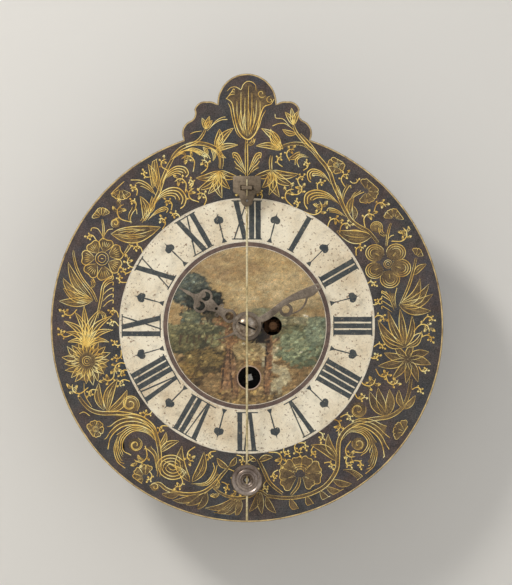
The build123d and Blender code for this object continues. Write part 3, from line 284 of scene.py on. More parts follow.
def ivoryPaint():  # chapter ring: old ivory with fine cracks, brown specks and stains
    material, tree, shader, place = startMaterial("ivoryPaint")
    cloud = spots(tree, place, 34, 5, 0.6)
    patch = spots(tree, place, 130, 6, 0.7)
    speck = spots(tree, place, 620, 3, 0.5)
    blot = spots(tree, place, 210, 6, 0.75, 0.8)
    stain = spots(tree, place, 75, 7, 0.78, 0.6)
    tone = ramp(
        tree, cloud,
        ((0.3, paint(216, 196, 164)), (0.46, paint(236, 222, 194)), (0.62, paint(246, 236, 212))),
    )
    tone = times(tree, tone, ramp(tree, patch, ((0.3, 0.68), (0.42, 0.92), (0.52, 1.0))))
    crack = tree.nodes.new("ShaderNodeTexVoronoi")
    crack.feature = "DISTANCE_TO_EDGE"
    crack.inputs["Scale"].default_value = 480
    tree.links.new(blended(tree, 0.004, place, spots(tree, place, 300, 3), "ADD"), crack.inputs["Vector"])
    line = ramp(tree, crack.outputs["Distance"], ((0.0, 0.72), (0.06, 1.0)))
    tone = blended(tree, ramp(tree, cloud, ((0.35, 0.9), (0.65, 0.3))), tone, times(tree, tone, line))
    tone = blended(tree, ramp(tree, speck, ((0.62, 0.0), (0.69, 0.85))), tone, paint(122, 88, 62))
    tone = blended(tree, ramp(tree, blot, ((0.62, 0.0), (0.72, 0.75))), tone, paint(150, 116, 84))
    smudge = ramp(tree, stain, ((0.56, 1.0), (0.66, 0.84), (0.78, 0.6)))
    tone = times(tree, tone, blended(tree, smudge, paint(214, 176, 132), (1.0, 1.0, 1.0)))
    coat(tree, shader, tone, ramp(tree, patch, ((0.3, 0.6), (0.7, 0.4))), crack.outputs["Distance"], 0.12)
    return material


def plainPaint(name, low, high, scale=300.0, rough=0.5):
    material, tree, shader, place = startMaterial(name)
    cloud = spots(tree, place, scale, 5, 0.65)
    grit = spots(tree, place, scale * 5, 4, 0.7)
    dust = ramp(tree, grit, ((0.36, 0.78), (0.5, 1.0), (0.72, 1.12)))
    tone = times(tree, ramp(tree, cloud, ((0.3, low), (0.7, high))), dust)
    coat(tree, shader, tone, ramp(tree, grit, ((0.3, rough + 0.12), (0.7, rough - 0.08))), grit, 0.15)
    return material


def slatePaint():  # blue-black figures, rubbed through in places
    material, tree, shader, place = startMaterial("slatePaint")
    cloud = spots(tree, place, 260, 5, 0.65)
    rub = spots(tree, place, 700, 5, 0.75, 0.5)
    tone = ramp(tree, cloud, ((0.3, paint(44, 52, 58)), (0.52, paint(62, 68, 70)), (0.7, paint(84, 86, 82))))
    tone = blended(tree, ramp(tree, rub, ((0.58, 0.0), (0.68, 0.75))), tone, paint(176, 160, 132))
    coat(tree, shader, tone, ramp(tree, rub, ((0.3, 0.5), (0.7, 0.62))), rub, 0.15)
    return material


def landscapePaint():  # the brushwork lies in the mesh's own colours; grain comes from here
    material, tree, shader, place = startMaterial("landscapePaint")
    brush = tree.nodes.new("ShaderNodeAttribute")
    brush.attribute_name = "brushwork"
    grain = spots(tree, place, 1300, 4, 0.7)
    broad = spots(tree, place, 240, 5, 0.65, 0.4)
    tone = times(tree, brush.outputs["Color"], ramp(tree, grain, ((0.34, 0.62), (0.5, 1.0), (0.68, 1.3))))
    tone = times(tree, tone, ramp(tree, broad, ((0.32, 0.8), (0.5, 1.0), (0.7, 1.1))))
    coat(tree, shader, tone, ramp(tree, broad, ((0.3, 0.55), (0.7, 0.38))), grain, 0.25)
    return material


dress(nodes["dial_plate"], darkGround())
gold = goldPaint()
wash = brownWash()
ivory = ivoryPaint()
slate = slatePaint()
redBrown = plainPaint("redBrownPaint", paint(78, 62, 60), paint(120, 98, 86), 160)
whiteLine = plainPaint("whiteLinePaint", paint(205, 190, 165), paint(240, 232, 214), 220)

print("hands and cock")
filed = {"hand": 0.00028, "cock": 0.00035, "steps": 2, "sharp": 40, "weld": 0.000002}


def softened(node, body, width):  # a merged copy of the node with its edges filed round
    source = nodes[node]
    deselect()
    piece = bpy.data.objects.new(node + "_filed", source.data.copy())
    bpy.context.scene.collection.objects.link(piece)
    pick(piece)
    bpy.ops.object.mode_set(mode="EDIT")
    bpy.ops.mesh.select_all(action="SELECT")
    bpy.ops.mesh.remove_doubles(threshold=filed["weld"])
    bpy.ops.mesh.dissolve_limited(angle_limit=math.radians(0.5))
    bpy.ops.object.mode_set(mode="OBJECT")
    edge = piece.modifiers.new("filed", "BEVEL")
    edge.width = width
    edge.segments = filed["steps"]
    edge.limit_method = "ANGLE"
    edge.angle_limit = math.radians(filed["sharp"])
    edge.use_clamp_overlap = True
    bpy.ops.object.modifier_apply(modifier="filed")
    bpy.ops.object.shade_smooth_by_angle(angle=math.radians(35))
    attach(piece, body)
    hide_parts(node)


softened("hour_hand", "hour_set", filed["hand"])
softened("minute_hand", "minute_set", filed["hand"])
softened("front_cock", "frame_set", filed["cock"])

# painted shade: a near-black block sits in the nut's slot to stand for the shadow at its bottom
slotShade = {"angle": -24.0, "long": 0.0128, "wide": 0.00122, "deep": 0.0009, "under": 0.0005, "edge": 0.0002}
deselect()
bpy.ops.mesh.primitive_cube_add(
    size=1,
    location=(
        sheet["handsX"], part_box("hand_nut")[0].y + slotShade["under"] + slotShade["deep"] / 2, sheet["handsZ"],
    ),
    rotation=(0, math.radians(-slotShade["angle"]), 0),
    scale=(slotShade["long"], slotShade["deep"], slotShade["wide"]),
)
nutSlotShade = bpy.context.object
nutSlotShade.name = "nut_slot_painted_shade"
settle(nutSlotShade)
bpy.ops.object.mode_set(mode="EDIT")
bpy.ops.mesh.select_all(action="SELECT")
bpy.ops.mesh.bevel(offset=slotShade["edge"], segments=2)
bpy.ops.object.mode_set(mode="OBJECT")
dress(nutSlotShade, metalFinish("paintedSlotShade", ((12, 9, 7), (22, 17, 13), (34, 27, 21)), 0.0, 0.8, 220, 0.25))
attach(nutSlotShade, "minute_set")

print("chapter ring")
ring = {
    "inner": 0.058, "outer": 0.0875, "thick": 0.00022, "line": 0.00042, "lineThick": 0.0003,
    "bandInner": 0.0545, "bandThick": 0.0002, "bandLine": 0.0002, "bandLineThick": 0.00024,
    "numeralInner": 0.0594, "numeralOuter": 0.0861, "numeralThick": 0.00008,
}


def painted(piece, finish):  # a thin layer of paint on the plate
    dress(piece, finish)
    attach(piece, "frame_set")


def flatRing(name, inner, outer, thick, finish):
    middle = (sheet["handsX"], dialFront, sheet["handsZ"])
    deselect()
    bpy.ops.mesh.primitive_circle_add(
        vertices=256, radius=outer, fill_type="NOTHING", location=middle, rotation=(math.pi / 2, 0, 0),
    )
    piece = bpy.context.object
    piece.name = name
    bpy.ops.object.mode_set(mode="EDIT")
    bpy.ops.mesh.select_all(action="SELECT")
    bpy.ops.mesh.extrude_edges_move()
    bpy.ops.transform.resize(value=(inner / outer, 1, inner / outer), center_override=middle)
    bpy.ops.mesh.select_all(action="SELECT")
    bpy.ops.mesh.extrude_region_move(TRANSFORM_OT_translate={"value": (0, -thick, 0)})
    bpy.ops.mesh.select_all(action="SELECT")
    bpy.ops.mesh.normals_make_consistent(inside=False)
    bpy.ops.object.mode_set(mode="OBJECT")
    bpy.ops.object.shade_smooth_by_angle(angle=math.radians(30))
    settle(piece)
    painted(piece, finish)


innerLine, outerLine = ring["inner"] - ring["line"], ring["outer"] + ring["line"]
flatRing("chapter_ring", ring["inner"], ring["outer"], ring["thick"], ivory)
flatRing("outer_ring_line", ring["outer"] - ring["line"], outerLine, ring["lineThick"], whiteLine)
flatRing("inner_ring_line", innerLine, ring["inner"] + ring["line"], ring["lineThick"], whiteLine)
flatRing("brown_band", ring["bandInner"], innerLine, ring["bandThick"], redBrown)
flatRing(
    "band_line", ring["bandInner"] - ring["bandLine"], ring["bandInner"] + ring["bandLine"],
    ring["bandLineThick"], whiteLine,
)


def turningSum(points):  # above nought when the points run anticlockwise
    return sum(a[0] * b[1] - b[0] * a[1] for a, b in zip(points, points[1:] + points[:1]))


def flatShapes(name, outlines, lift, thick, finish, step=0.0):
    corners = []
    faces = []
    for count, outline in enumerate(outlines):
        start = len(corners)
        corners += [(x, dialFront - lift - step * count, z) for x, z in outline]
        face = list(range(start, len(corners)))
        faces.append(face if turningSum(outline) > 0 else face[::-1])
    mesh = bpy.data.meshes.new(name)
    mesh.from_pydata(corners, [], faces)
    piece = bpy.data.objects.new(name, mesh)
    bpy.context.scene.collection.objects.link(piece)
    pick(piece)
    body = piece.modifiers.new("thick", "SOLIDIFY")
    body.thickness = thick
    body.offset = 1
    bpy.ops.object.modifier_apply(modifier="thick")
    painted(piece, finish)


def ringPoint(hour, across, radius):  # across is measured clockwise, in metres, at that radius
    angle = math.radians(hour * 30)
    x = radius * math.sin(angle) + across * math.cos(angle)
    z = radius * math.cos(angle) - across * math.sin(angle)
    return sheet["handsX"] + x, sheet["handsZ"] + z


def brushBar(hour, start, end, startWidth, endWidth=None, steps=6):  # both ends are (across, radius)
    endWidth = endWidth or startWidth
    sides = ([], [])
    length = math.dist(start, end)
    alongX, alongY = (end[0] - start[0]) / length, (end[1] - start[1]) / length
    for i in range(steps + 1):
        t = i / steps
        half = (startWidth + (endWidth - startWidth) * t) / 2
        half += random.uniform(-numerals["tremble"], numerals["tremble"])
        a = start[0] + (end[0] - start[0]) * t
        r = start[1] + (end[1] - start[1]) * t
        sides[0].append(ringPoint(hour, a - alongY * half, r + alongX * half))
        sides[1].append(ringPoint(hour, a + alongY * half, r - alongX * half))
    return sides[0] + sides[1][::-1]


numerals = {
    "thick": 0.0034, "thin": 0.0009, "gap": 0.0011, "serif": 0.00065, "overhang": 0.0009,
    "vee": 0.0088, "ex": 0.0098, "tremble": 0.00011,
    "hours": ("I", "II", "III", "IIII", "V", "VI", "VII", "VIII", "IX", "X", "XI", "XII"),
}


def numeral(hour, letters):
    shapes = []
    widths = {"I": numerals["thick"], "V": numerals["vee"], "X": numerals["ex"]}
    total = sum(widths[letter] for letter in letters) + numerals["gap"] * (len(letters) - 1)
    low, high = ring["numeralInner"], ring["numeralOuter"]
    at = -total / 2
    for letter in letters:
        wide = widths[letter]
        if letter == "I":
            shapes.append(brushBar(hour, (at + wide / 2, low), (at + wide / 2, high), numerals["thick"]))
        if letter == "V":
            shapes.append(brushBar(hour, (at + wide * 0.52, low), (at + 0.0018, high), 0.0022, numerals["thick"]))
            shapes.append(brushBar(hour, (at + wide * 0.62, low), (at + wide - 0.0004, high), numerals["thin"]))
        if letter == "X":
            shapes.append(brushBar(hour, (at + wide - 0.0017, low), (at + 0.0017, high), numerals["thick"]))
            shapes.append(brushBar(hour, (at + 0.0006, low), (at + wide - 0.0006, high), numerals["thin"]))
        at += wide + numerals["gap"]
    half = total / 2 + numerals["overhang"]
    bend = 5
    for radius, sign in ((low, 1), (high, -1)):
        near = [ringPoint(hour, -half + 2 * half * i / bend, radius - sign * 0.0001) for i in range(bend + 1)]
        tip = radius + sign * numerals["serif"]
        far = [ringPoint(hour, -half + 2 * half * i / bend, tip) for i in range(bend + 1)]
        shapes.append(near + far[::-1])
    return shapes


halfHours = {
    "middle": 0.0748, "foot": 0.06, "stem": (0.0007, 0.0009),
    "spade": (
        (0.0, 0.0058), (0.0004, 0.0034), (0.0016, 0.0026), (0.003, 0.0016), (0.0034, 0.0), (0.0030, -0.0014),
        (0.0018, -0.0022), (0.0004, -0.0018),
    ),
    "flare": ((-0.0019, 0.0593), (0.0019, 0.0593), (0.0005, 0.0621), (-0.0005, 0.0621)),
}


def halfHour(hour):  # a spade dot on a thin stem with a flared foot
    middle = halfHours["middle"]
    outline = halfHours["spade"] + tuple((-a, r) for a, r in halfHours["spade"][:0:-1])
    shapes = [[ringPoint(hour, a * random.uniform(0.93, 1.07), middle + r) for a, r in outline]]
    foot = (random.uniform(-0.0003, 0.0003), halfHours["foot"])
    shapes.append(brushBar(hour, foot, (0, middle - 0.001), *halfHours["stem"], 4))
    shapes.append([ringPoint(hour, a, r) for a, r in halfHours["flare"]])
    return shapes


paintedHours = []
for hour, letters in enumerate(numerals["hours"], 1):
    paintedHours += numeral(hour, letters)
    paintedHours += halfHour(hour + 0.5)
flatShapes("hour_numerals", paintedHours, ring["thick"] - 0.00002, ring["numeralThick"], slate, 0.0000006)

print("centre painting")
scene = {
    "radius": 0.0547, "thick": 0.00014, "cells": 176,
    "holes": ((0.0, 0.0, 0.0046), (0.0015, -0.0357, 0.0078), (0.0174, 0.0, 0.0066)),
    "edgeRadius": 0.0081, "edgeWide": 0.0004,
}
canvasReach = 56.0
canvasSize = 200
canvasStep = 2 * canvasReach / (canvasSize - 1)
canvas = np.zeros((canvasSize, canvasSize, 3))


def smear(x, z, long, wide, angle, colour, strength=0.8):  # one touch, in millimetres from the hands' centre
    reach = int(max(long, wide) / canvasStep) + 2
    column, row = int((x + canvasReach) / canvasStep), int((z + canvasReach) / canvasStep)
    left, right = max(0, column - reach), min(canvasSize, column + reach + 1)
    low, high = max(0, row - reach), min(canvasSize, row + reach + 1)
    if left >= right or low >= high:
        return
    across, up = np.meshgrid(np.arange(left, right), np.arange(low, high), indexing="ij")
    dx = across * canvasStep - canvasReach - x
    dz = up * canvasStep - canvasReach - z
    along = (dx * math.cos(angle) + dz * math.sin(angle)) / long
    over = (dz * math.cos(angle) - dx * math.sin(angle)) / wide
    share = strength * np.clip((1 - along ** 2 - over ** 2) * 2.2, 0, 1)[..., None]
    patch = canvas[left:right, low:high]
    canvas[left:right, low:high] = patch + (np.array(colour) - patch) * share


def mixed(tones):  # a colour near one of the tones
    tone = random.choice(tones)
    lift = random.uniform(0.86, 1.14)
    return [part * lift for part in paint(*tone)]


def dabs(count, middle, reach, size, tones, lean=0.0, strength=0.8, flat=0.45, edge=1.0):
    for k in range(count):
        a, r = random.uniform(0, 2 * math.pi), random.random() ** 0.6 * edge
        x, z = middle[0] + reach[0] * r * math.cos(a), middle[1] + reach[1] * r * math.sin(a)
        long = size * random.uniform(0.6, 1.4)
        smear(x, z, long, long * flat, lean + random.uniform(-0.5, 0.5), mixed(tones), strength)


def trail(points, wide, tones, strength=0.85, spread=0.3):  # a branch, trunk or path
    run = through(points, 24)
    for k, (x, z) in enumerate(run[:-1]):
        nx, nz = run[k + 1]
        angle = math.atan2(nz - z, nx - x) + random.uniform(-0.1, 0.1)
        w = wide * (1 - 0.45 * k / len(run))
        side = random.uniform(-0.7, 0.7) * max(0.0, w - 0.8)
        x += random.uniform(-spread, spread) - side * math.sin(angle)
        smear(x, z + side * math.cos(angle), max(w, 1.2) * 2.2, max(0.55, w * 0.42), angle, mixed(tones), strength)


def flecks(count):  # light and dark touches of whatever is already there
    for k in range(count):
        a, r = random.uniform(0, 2 * math.pi), 54 * random.random() ** 0.5
        x, z = r * math.cos(a), r * math.sin(a)
        here = canvas[int((x + canvasReach) / canvasStep), int((z + canvasReach) / canvasStep)]
        inSky = z > 8 and here[0] > 0.3
        lift = random.choice((0.78, 0.88, 1.1, 1.22) if inSky else (0.45, 0.6, 0.75, 1.35, 1.6, 1.9))
        warm = random.uniform(0.9, 1.12)
        tone = [min(0.8, here[0] * lift * warm), min(0.72, here[1] * lift), min(0.6, here[2] * lift / warm)]
        smear(x, z, random.uniform(0.7, 1.7), random.uniform(0.45, 0.8), random.uniform(-0.6, 0.9), tone, 0.7)


def foliage(middle, reach, shade, light, count, size=1.5):
    dabs(count, middle, reach, size * 1.7, shade, 0.3, 0.85)
    lit = (middle[0] - reach[0] * 0.12, middle[1] + reach[1] * 0.2)
    dabs(count, lit, (reach[0] * 0.9, reach[1] * 0.85), size, light, 0.6, 0.6)
    dabs(count // 3, middle, (reach[0] * 1.15, reach[1] * 1.15), size * 0.7, shade, 0.2, 0.7)


def hills(low, waves, rows, drop, size, tones, strength, tilt):
    for k in range(70):
        x = -56 + k * 1.65
        top = low + sum(high * math.sin(x * rate + start) for high, rate, start in waves)
        for j in range(rows):
            smear(x, top - drop * j, *size, tilt, mixed(tones), strength)


def paintLandscape():
    for row in range(canvasSize):
        t = row / canvasSize
        canvas[:, row] = [a + (b - a) * t for a, b in zip(paint(150, 120, 80), paint(172, 144, 98))]
    sky = ((176, 148, 100), (188, 162, 114), (166, 138, 92), (200, 174, 126), (178, 156, 116))
    dabs(900, (0, 30), (58, 34), 6.0, sky, 0.15, 0.4, 0.4)
    dabs(140, (22, 22), (30, 14), 5.0, ((206, 182, 136), (214, 192, 148), (196, 170, 122)), 0.2, 0.4, 0.3)
    dabs(90, (-20, 40), (30, 10), 5.0, ((150, 122, 82), (140, 116, 84), (164, 136, 96)), 0.1, 0.4, 0.3)
    far = ((150, 142, 110), (136, 136, 108), (160, 148, 110))
    near = ((118, 116, 80), (102, 106, 78), (134, 126, 86), (110, 98, 66))
    hills(4, ((5.5, 0.052, 0.9), (2.0, 0.16, 0)), 5, 1.6, (3.0, 1.5), far, 0.6, 0.1)
    hills(-3, ((3.4, 0.07, -1.3), (1.2, 0.21, 2)), 7, 1.7, (2.8, 1.4), near, 0.7, 0.05)
    ground = ((128, 102, 66), (146, 118, 78), (112, 88, 56), (158, 132, 88), (98, 78, 50))
    dabs(1500, (0, -38), (60, 25), 3.2, ground, 0.05, 0.7, 0.34)
    dabs(330, (6, -16), (26, 7), 2.6, ((176, 152, 106), (160, 136, 92), (188, 164, 118)), 0.0, 0.6, 0.3)
    path = ((176, 162, 126), (160, 150, 120), (188, 172, 134))
    trail([(30, -54), (20, -44), (26, -34), (14, -26), (18, -18), (10, -12)], 4.2, path, 0.7, 1.2)
    light = ((138, 144, 110), (152, 156, 120), (124, 134, 104))
    foliage((38, -16), (17, 12), ((92, 100, 76), (106, 116, 88), (84, 88, 62)), light, 260)
    foliage((49, -4), (9, 10), ((104, 112, 90), (118, 124, 98)), ((146, 150, 118), (132, 140, 112)), 130)
    foliage((-42, -12), (14, 7), ((58, 56, 40), (74, 70, 46), (88, 82, 54)), ((116, 106, 70), (98, 94, 62)), 230)
    light = ((122, 102, 60), (104, 88, 52), (140, 116, 66))
    foliage((-26, -24), (18, 8), ((60, 50, 32), (80, 66, 40), (50, 42, 28)), light, 300)
    foliage((-40, -34), (10, 8), ((70, 54, 34), (88, 68, 40)), ((150, 122, 66), (128, 104, 60)), 130)
    trunks = ((-46, -12, 22), (-41, -10, 26), (-37, -13, 18), (-33, -8, 8), (-28, -9, 6), (-24, -10, 5))
    bark = ((66, 52, 38), (84, 66, 48))
    for x, foot, top in trunks:
        trail([(x, foot), (x + 1.2, (foot + top) / 2), (x + 0.4, top)], 0.9, bark, 0.9, 0.15)
    light = ((96, 102, 90), (112, 112, 90), (86, 96, 90))
    foliage((-40, 25), (13, 11), ((56, 60, 54), (68, 74, 66), (80, 84, 72)), light, 330)
    # painted shadow: the near-black crown lies where the hour hand's shadow falls and shows through its piercings
    light = ((70, 76, 68), (84, 88, 74), (58, 62, 52))
    foliage((-29, 17), (12, 8), ((26, 28, 24), (40, 42, 36), (34, 32, 26)), light, 260, 1.3)
    foliage((-20, 6), (8, 4), ((48, 44, 34), (66, 60, 44)), ((104, 96, 70), (90, 84, 60)), 90, 1.1)
    foliage((-38, 6), (7, 4), ((70, 76, 64), (84, 86, 66)), ((110, 112, 86), (126, 122, 88)), 110, 1.2)
    for x, lean in ((-16, 0.8), (-8.5, -0.6), (13, 0.5)):  # old trunks with warm bark
        foot = -46 + abs(x) * 0.2
        bark = ((140, 104, 72), (118, 86, 60), (164, 128, 90), (92, 70, 52), (150, 112, 70))
        for way, wide, spread in (
            (((0, 0), (2, 14), (5, 28), (3, 40)), 3.4, 0.6),
            (((4, 24), (9, 31), (16, 34)), 1.4, 0.2),
            (((3, 32), (-3, 38), (-8, 46)), 1.2, 0.2),
        ):
            trail([(x + lean * across, foot + up) for across, up in way], wide, bark, 0.85, spread)
        shade = [(x - 1.6, foot), (x - 1.4 + lean * 2, foot + 15), (x - 1.2 + lean * 4, foot + 30)]
        trail(shade, 0.8, ((58, 42, 32), (74, 54, 40)), 0.8, 0.15)
    foliage((-12, 3), (11, 5), ((118, 84, 58), (136, 98, 68)), ((160, 122, 84), (150, 130, 84)), 80, 1.3)
    dabs(240, (0, -50), (40, 6), 2.2, ((92, 72, 46), (70, 54, 36), (150, 122, 74), (178, 148, 92)), 0.1, 0.7, 0.4)
    foliage((4, -30), (5, 6), ((120, 92, 58), (140, 108, 66)), ((176, 146, 94), (160, 128, 80)), 60, 1.0)
    foliage((-34, -2), (18, 4), ((70, 72, 52), (84, 80, 56)), ((128, 122, 86), (112, 110, 78)), 150, 1.1)
    flecks(3200)
    # painted shadows: near-black touches right of and below the centre, where the hand boss and the hour hand's
    # tail cast shade
    dabs(36, (9, -8.5), (7, 4.0), 1.9, ((30, 22, 16), (22, 16, 12), (44, 32, 24)), 0.5, 0.85, 0.6)
    dabs(16, (11, 0), (4, 5.0), 2.0, ((26, 20, 14), (36, 26, 20)), 0.2, 0.85, 0.7)
    dabs(12, (17.4, 0), (8.4, 8.2), 1.6, ((74, 56, 40), (58, 44, 34)), 0.2, 0.5, 0.7)
    dabs(26, (1.5, -36.4), (9.0, 9.4), 1.3, ((60, 44, 34), (84, 62, 46)), 0.2, 0.5, 0.7)


def drill(x, z, radius):
    bpy.ops.mesh.primitive_cylinder_add(
        vertices=64, radius=radius, depth=0.01, rotation=(math.pi / 2, 0, 0),
        location=(sheet["handsX"] + x, dialFront, sheet["handsZ"] + z),
    )
    return bpy.context.object


def cutPainting():
    deselect()
    bpy.ops.mesh.primitive_grid_add(
        x_subdivisions=scene["cells"], y_subdivisions=scene["cells"], size=2 * scene["radius"],
        rotation=(math.pi / 2, 0, 0), location=(sheet["handsX"], dialFront - scene["thick"], sheet["handsZ"]),
    )
    piece = bpy.context.object
    piece.name = "centre_painting"
    settle(piece)
    bpy.ops.object.mode_set(mode="EDIT")
    bpy.ops.mesh.select_all(action="DESELECT")
    bpy.ops.object.mode_set(mode="OBJECT")
    for corner in piece.data.vertices:
        x, z = corner.co.x - sheet["handsX"], corner.co.z - sheet["handsZ"]
        corner.select = math.hypot(x, z) > scene["radius"]
    bpy.ops.object.mode_set(mode="EDIT")
    bpy.ops.mesh.delete(type="VERT")
    bpy.ops.mesh.select_all(action="SELECT")
    bpy.ops.mesh.extrude_region_move(TRANSFORM_OT_translate={"value": (0, scene["thick"], 0)})
    bpy.ops.mesh.select_all(action="SELECT")
    bpy.ops.mesh.normals_make_consistent(inside=False)
    bpy.ops.object.mode_set(mode="OBJECT")
    for x, z, radius in scene["holes"]:
        tool = drill(x, z, radius)
        pick(piece)
        cut = piece.modifiers.new("hole", "BOOLEAN")
        cut.operation = "DIFFERENCE"
        cut.object = tool
        bpy.ops.object.modifier_apply(modifier="hole")
        bpy.data.objects.remove(tool)
    return piece


holeX, holeZ = scene["holes"][1][:2]
deselect()
bpy.ops.mesh.primitive_torus_add(
    major_radius=scene["edgeRadius"], minor_radius=scene["edgeWide"], major_segments=64, minor_segments=8,
    rotation=(math.pi / 2, 0, 0), location=(sheet["handsX"] + holeX, dialFront - 0.0001, sheet["handsZ"] + holeZ),
)
holeLine = bpy.context.object
holeLine.name = "winding_hole_line"
holeLine.scale = (1, 1, 0.5)
settle(holeLine)
painted(holeLine, plainPaint("holeEdgePaint", paint(150, 118, 100), paint(206, 182, 160), 200))

print("gilding")
gilt = {
    "depth": 0.00034, "flat": 0.42, "lineWidth": 0.96, "edge": 189.5, "bandLow": 129.0, "bandHigh": 187.0,
    "leafReach": (8.5, 11.5), "leafRoom": 2.5,
    "sprays": 110, "sprayTries": 16000, "sprayLong": (12, 20), "sprayShort": (8, 12), "sprayRoom": 3.1,
    "sprigs": 130, "sprigTries": 9000, "sprigReach": (6, 11), "sprigRoom": 2.4, "sprigStart": 4.6,
}
strokes = []
fills = []
stems = []


def through(points, perSpan=5):  # a smooth run through the points
    if len(points) < 3:
        (ax, ay), (bx, by) = points[0], points[-1]
        return [(ax + (bx - ax) * i / perSpan, ay + (by - ay) * i / perSpan) for i in range(perSpan + 1)]
    ends = [(2 * points[0][0] - points[1][0], 2 * points[0][1] - points[1][1])]
    ends += points
    ends.append((2 * points[-1][0] - points[-2][0], 2 * points[-1][1] - points[-2][1]))
    run = []
    for k in range(1, len(ends) - 2):
        p0, p1, p2, p3 = ends[k - 1], ends[k], ends[k + 1], ends[k + 2]
        for i in range(perSpan):
            t = i / perSpan
            run.append(tuple(
                0.5 * (
                    2 * b + (c - a) * t + (2 * a - 5 * b + 4 * c - d) * t * t
                    + (3 * b - a - 3 * c + d) * t ** 3
                )
                for a, b, c, d in zip(p0, p1, p2, p3)
            ))
    run.append(points[-1])
    return run


def stroke(points, width=1.0, bulb=0.0, perSpan=4):
    run = through(points, perSpan)
    last = len(run) - 1
    widths = []
    for i in range(last + 1):
        t = i / last
        w = width * max(0.34, math.sin(math.pi * (0.06 + 0.88 * t)) ** 0.55)
        if bulb and t > 0.82:
            w += width * bulb * math.sin(math.pi * (t - 0.82) / 0.18 * 0.8)
        widths.append(w)
    strokes.append((run, widths))


def fill(points):
    fills.append(points)


def around(middle, reach, angle, tall=1.0):
    return middle[0] + reach * math.cos(angle), middle[1] + reach * tall * math.sin(angle)


def disc(middle, reach, count, tall=1.0):
    fill([around(middle, reach, 2 * math.pi * k / count, tall) for k in range(count)])


def beside(run, amounts):  # the run moved sideways, to its left when it is drawn with y down
    moved = []
    for i, (x, y) in enumerate(run):
        ax, ay = run[max(0, i - 1)]
        bx, by = run[min(len(run) - 1, i + 1)]
        dx, dy = bx - ax, by - ay
        size = math.hypot(dx, dy) or 1
        moved.append((x + dy / size * amounts[i], y - dx / size * amounts[i]))
    return moved


def stem(points, wide=1.6, width=0.95):
    run = through(points, 5)
    last = len(run) - 1
    half = [wide * (0.5 + 0.5 * math.sin(math.pi * (0.15 + 0.7 * i / last))) for i in range(last + 1)]
    left = beside(run, half)
    right = beside(run, [-h for h in half])
    stroke(left[::3] + left[-1:], width, perSpan=3)
    stroke(right[::3] + right[-1:], width * 0.8, perSpan=3)
    fill(left[::2] + right[::-2])
    stems.append(run)


def plume(points, fan, count, side, width=1.1):  # nested lines that fan out from one spine
    spine = through(points, 6)
    last = len(spine) - 1
    for k in range(count):
        share = k / max(1, count - 1)
        amounts = [
            side * fan * 1.5 * share * math.sin(math.pi * 0.5 * min(1, i / last * 1.5)) * (1 - 0.25 * i / last)
            for i in range(last + 1)
        ]
        run = beside(spine, amounts)[int(last * 0.16 * share): last - int(last * 0.40 * share) + 1]
        if share > 0 and len(run) > 4:  # inner lines end in a small flick
            (x, y), (px, py) = run[-1], run[-3]
            run[-1] = (x + (y - py) * 0.35 * side, y - (x - px) * 0.35 * side)
        stroke(run[::2] + run[-1:], width * (1 - 0.22 * share), bulb=0.5 if k == 0 else 0.2, perSpan=2)
    if count > 1:
        fill(spine[: int(last * 0.9)][::2] + run[::-2])


def leaf(base, tip, fat, bend=0.0, veins=2, width=0.95):
    dx, dy = tip[0] - base[0], tip[1] - base[1]
    size = math.hypot(dx, dy)
    nx, ny = dy / size, -dx / size

    def at(t, off):
        swing = bend * size * math.sin(math.pi * t)
        return base[0] + dx * t + nx * (swing + off), base[1] + dy * t + ny * (swing + off)

    def belly(t):
        return math.sin(math.pi * t ** 0.85) ** 0.9

    edge = []
    for side in (1, -1):
        points = [at(t, side * fat * belly(t)) for t in (0, 0.16, 0.36, 0.58, 0.8, 1)]
        stroke(points, width)
        edge.append(through(points, 3))
    stroke([at(0, 0), at(0.3, 0), at(0.6, 0), at(0.9, 0)], width * 0.8)
    for k in range(veins):
        start = 0.12 + 0.42 * k / max(1, veins)
        for half in (fat, -fat):
            tipOff = half * 0.5 * belly(start + 0.34)
            stroke([at(start, half * 0.08), at(start + 0.16, half * 0.42), at(start + 0.34, tipOff)], width * 0.6)
    fill(edge[0] + edge[1][::-1])


def leaves(base, tips, veins, width):  # a leaf to each (x, y, fatness, bend)
    for x, y, fat, bend in tips:
        leaf(base, (x, y), fat, bend, veins, width)


def petal(middle, reach, angle, half, inner=0.3, hatch=4, width=0.85):
    def at(r, a):
        return around(middle, reach * r, angle + a)

    side = ((inner, 0.3), (0.62, 0.86), (0.86, 0.92), (0.99, 0.5))
    outline = [at(r, -half * a) for r, a in side] + [at(0.94, 0)] + [at(r, half * a) for r, a in side[::-1]]
    stroke(outline, width)
    fill(through(outline, 2))
    for k in range(hatch):
        a = half * 0.72 * (2 * (k + 0.5) / hatch - 1)
        stroke(
            [at(0.9 - 0.1 * abs(a / half), a), at(0.72, a * 0.92), at(0.52 + 0.05 * (k % 2), a * 0.7)],
            width * 0.66,
        )


def petals(middle, reach, angles, half, inner, hatch, width):
    for angle in angles:
        petal(middle, reach, angle, half, inner, hatch, width)


def bloom(middle, reach, count, turn, hatch, core, width):
    for k in range(count):
        angle = turn + 2 * math.pi * k / count
        size = reach * random.uniform(0.92, 1.06)
        petal(middle, size, angle, math.pi / count * 1.02, core + 0.06, hatch, width)
    heart(middle, reach * core, width)


def heart(middle, reach, width=0.8):
    for size in (1.0, 0.6):
        ringRun = [around(middle, reach * size, 2 * math.pi * i / 8 + 0.3) for i in range(9)]
        stroke(ringRun, width * 0.75, perSpan=2)
    stroke([(middle[0] - reach * 0.2, middle[1]), (middle[0] + reach * 0.2, middle[1] + 0.2)], width)


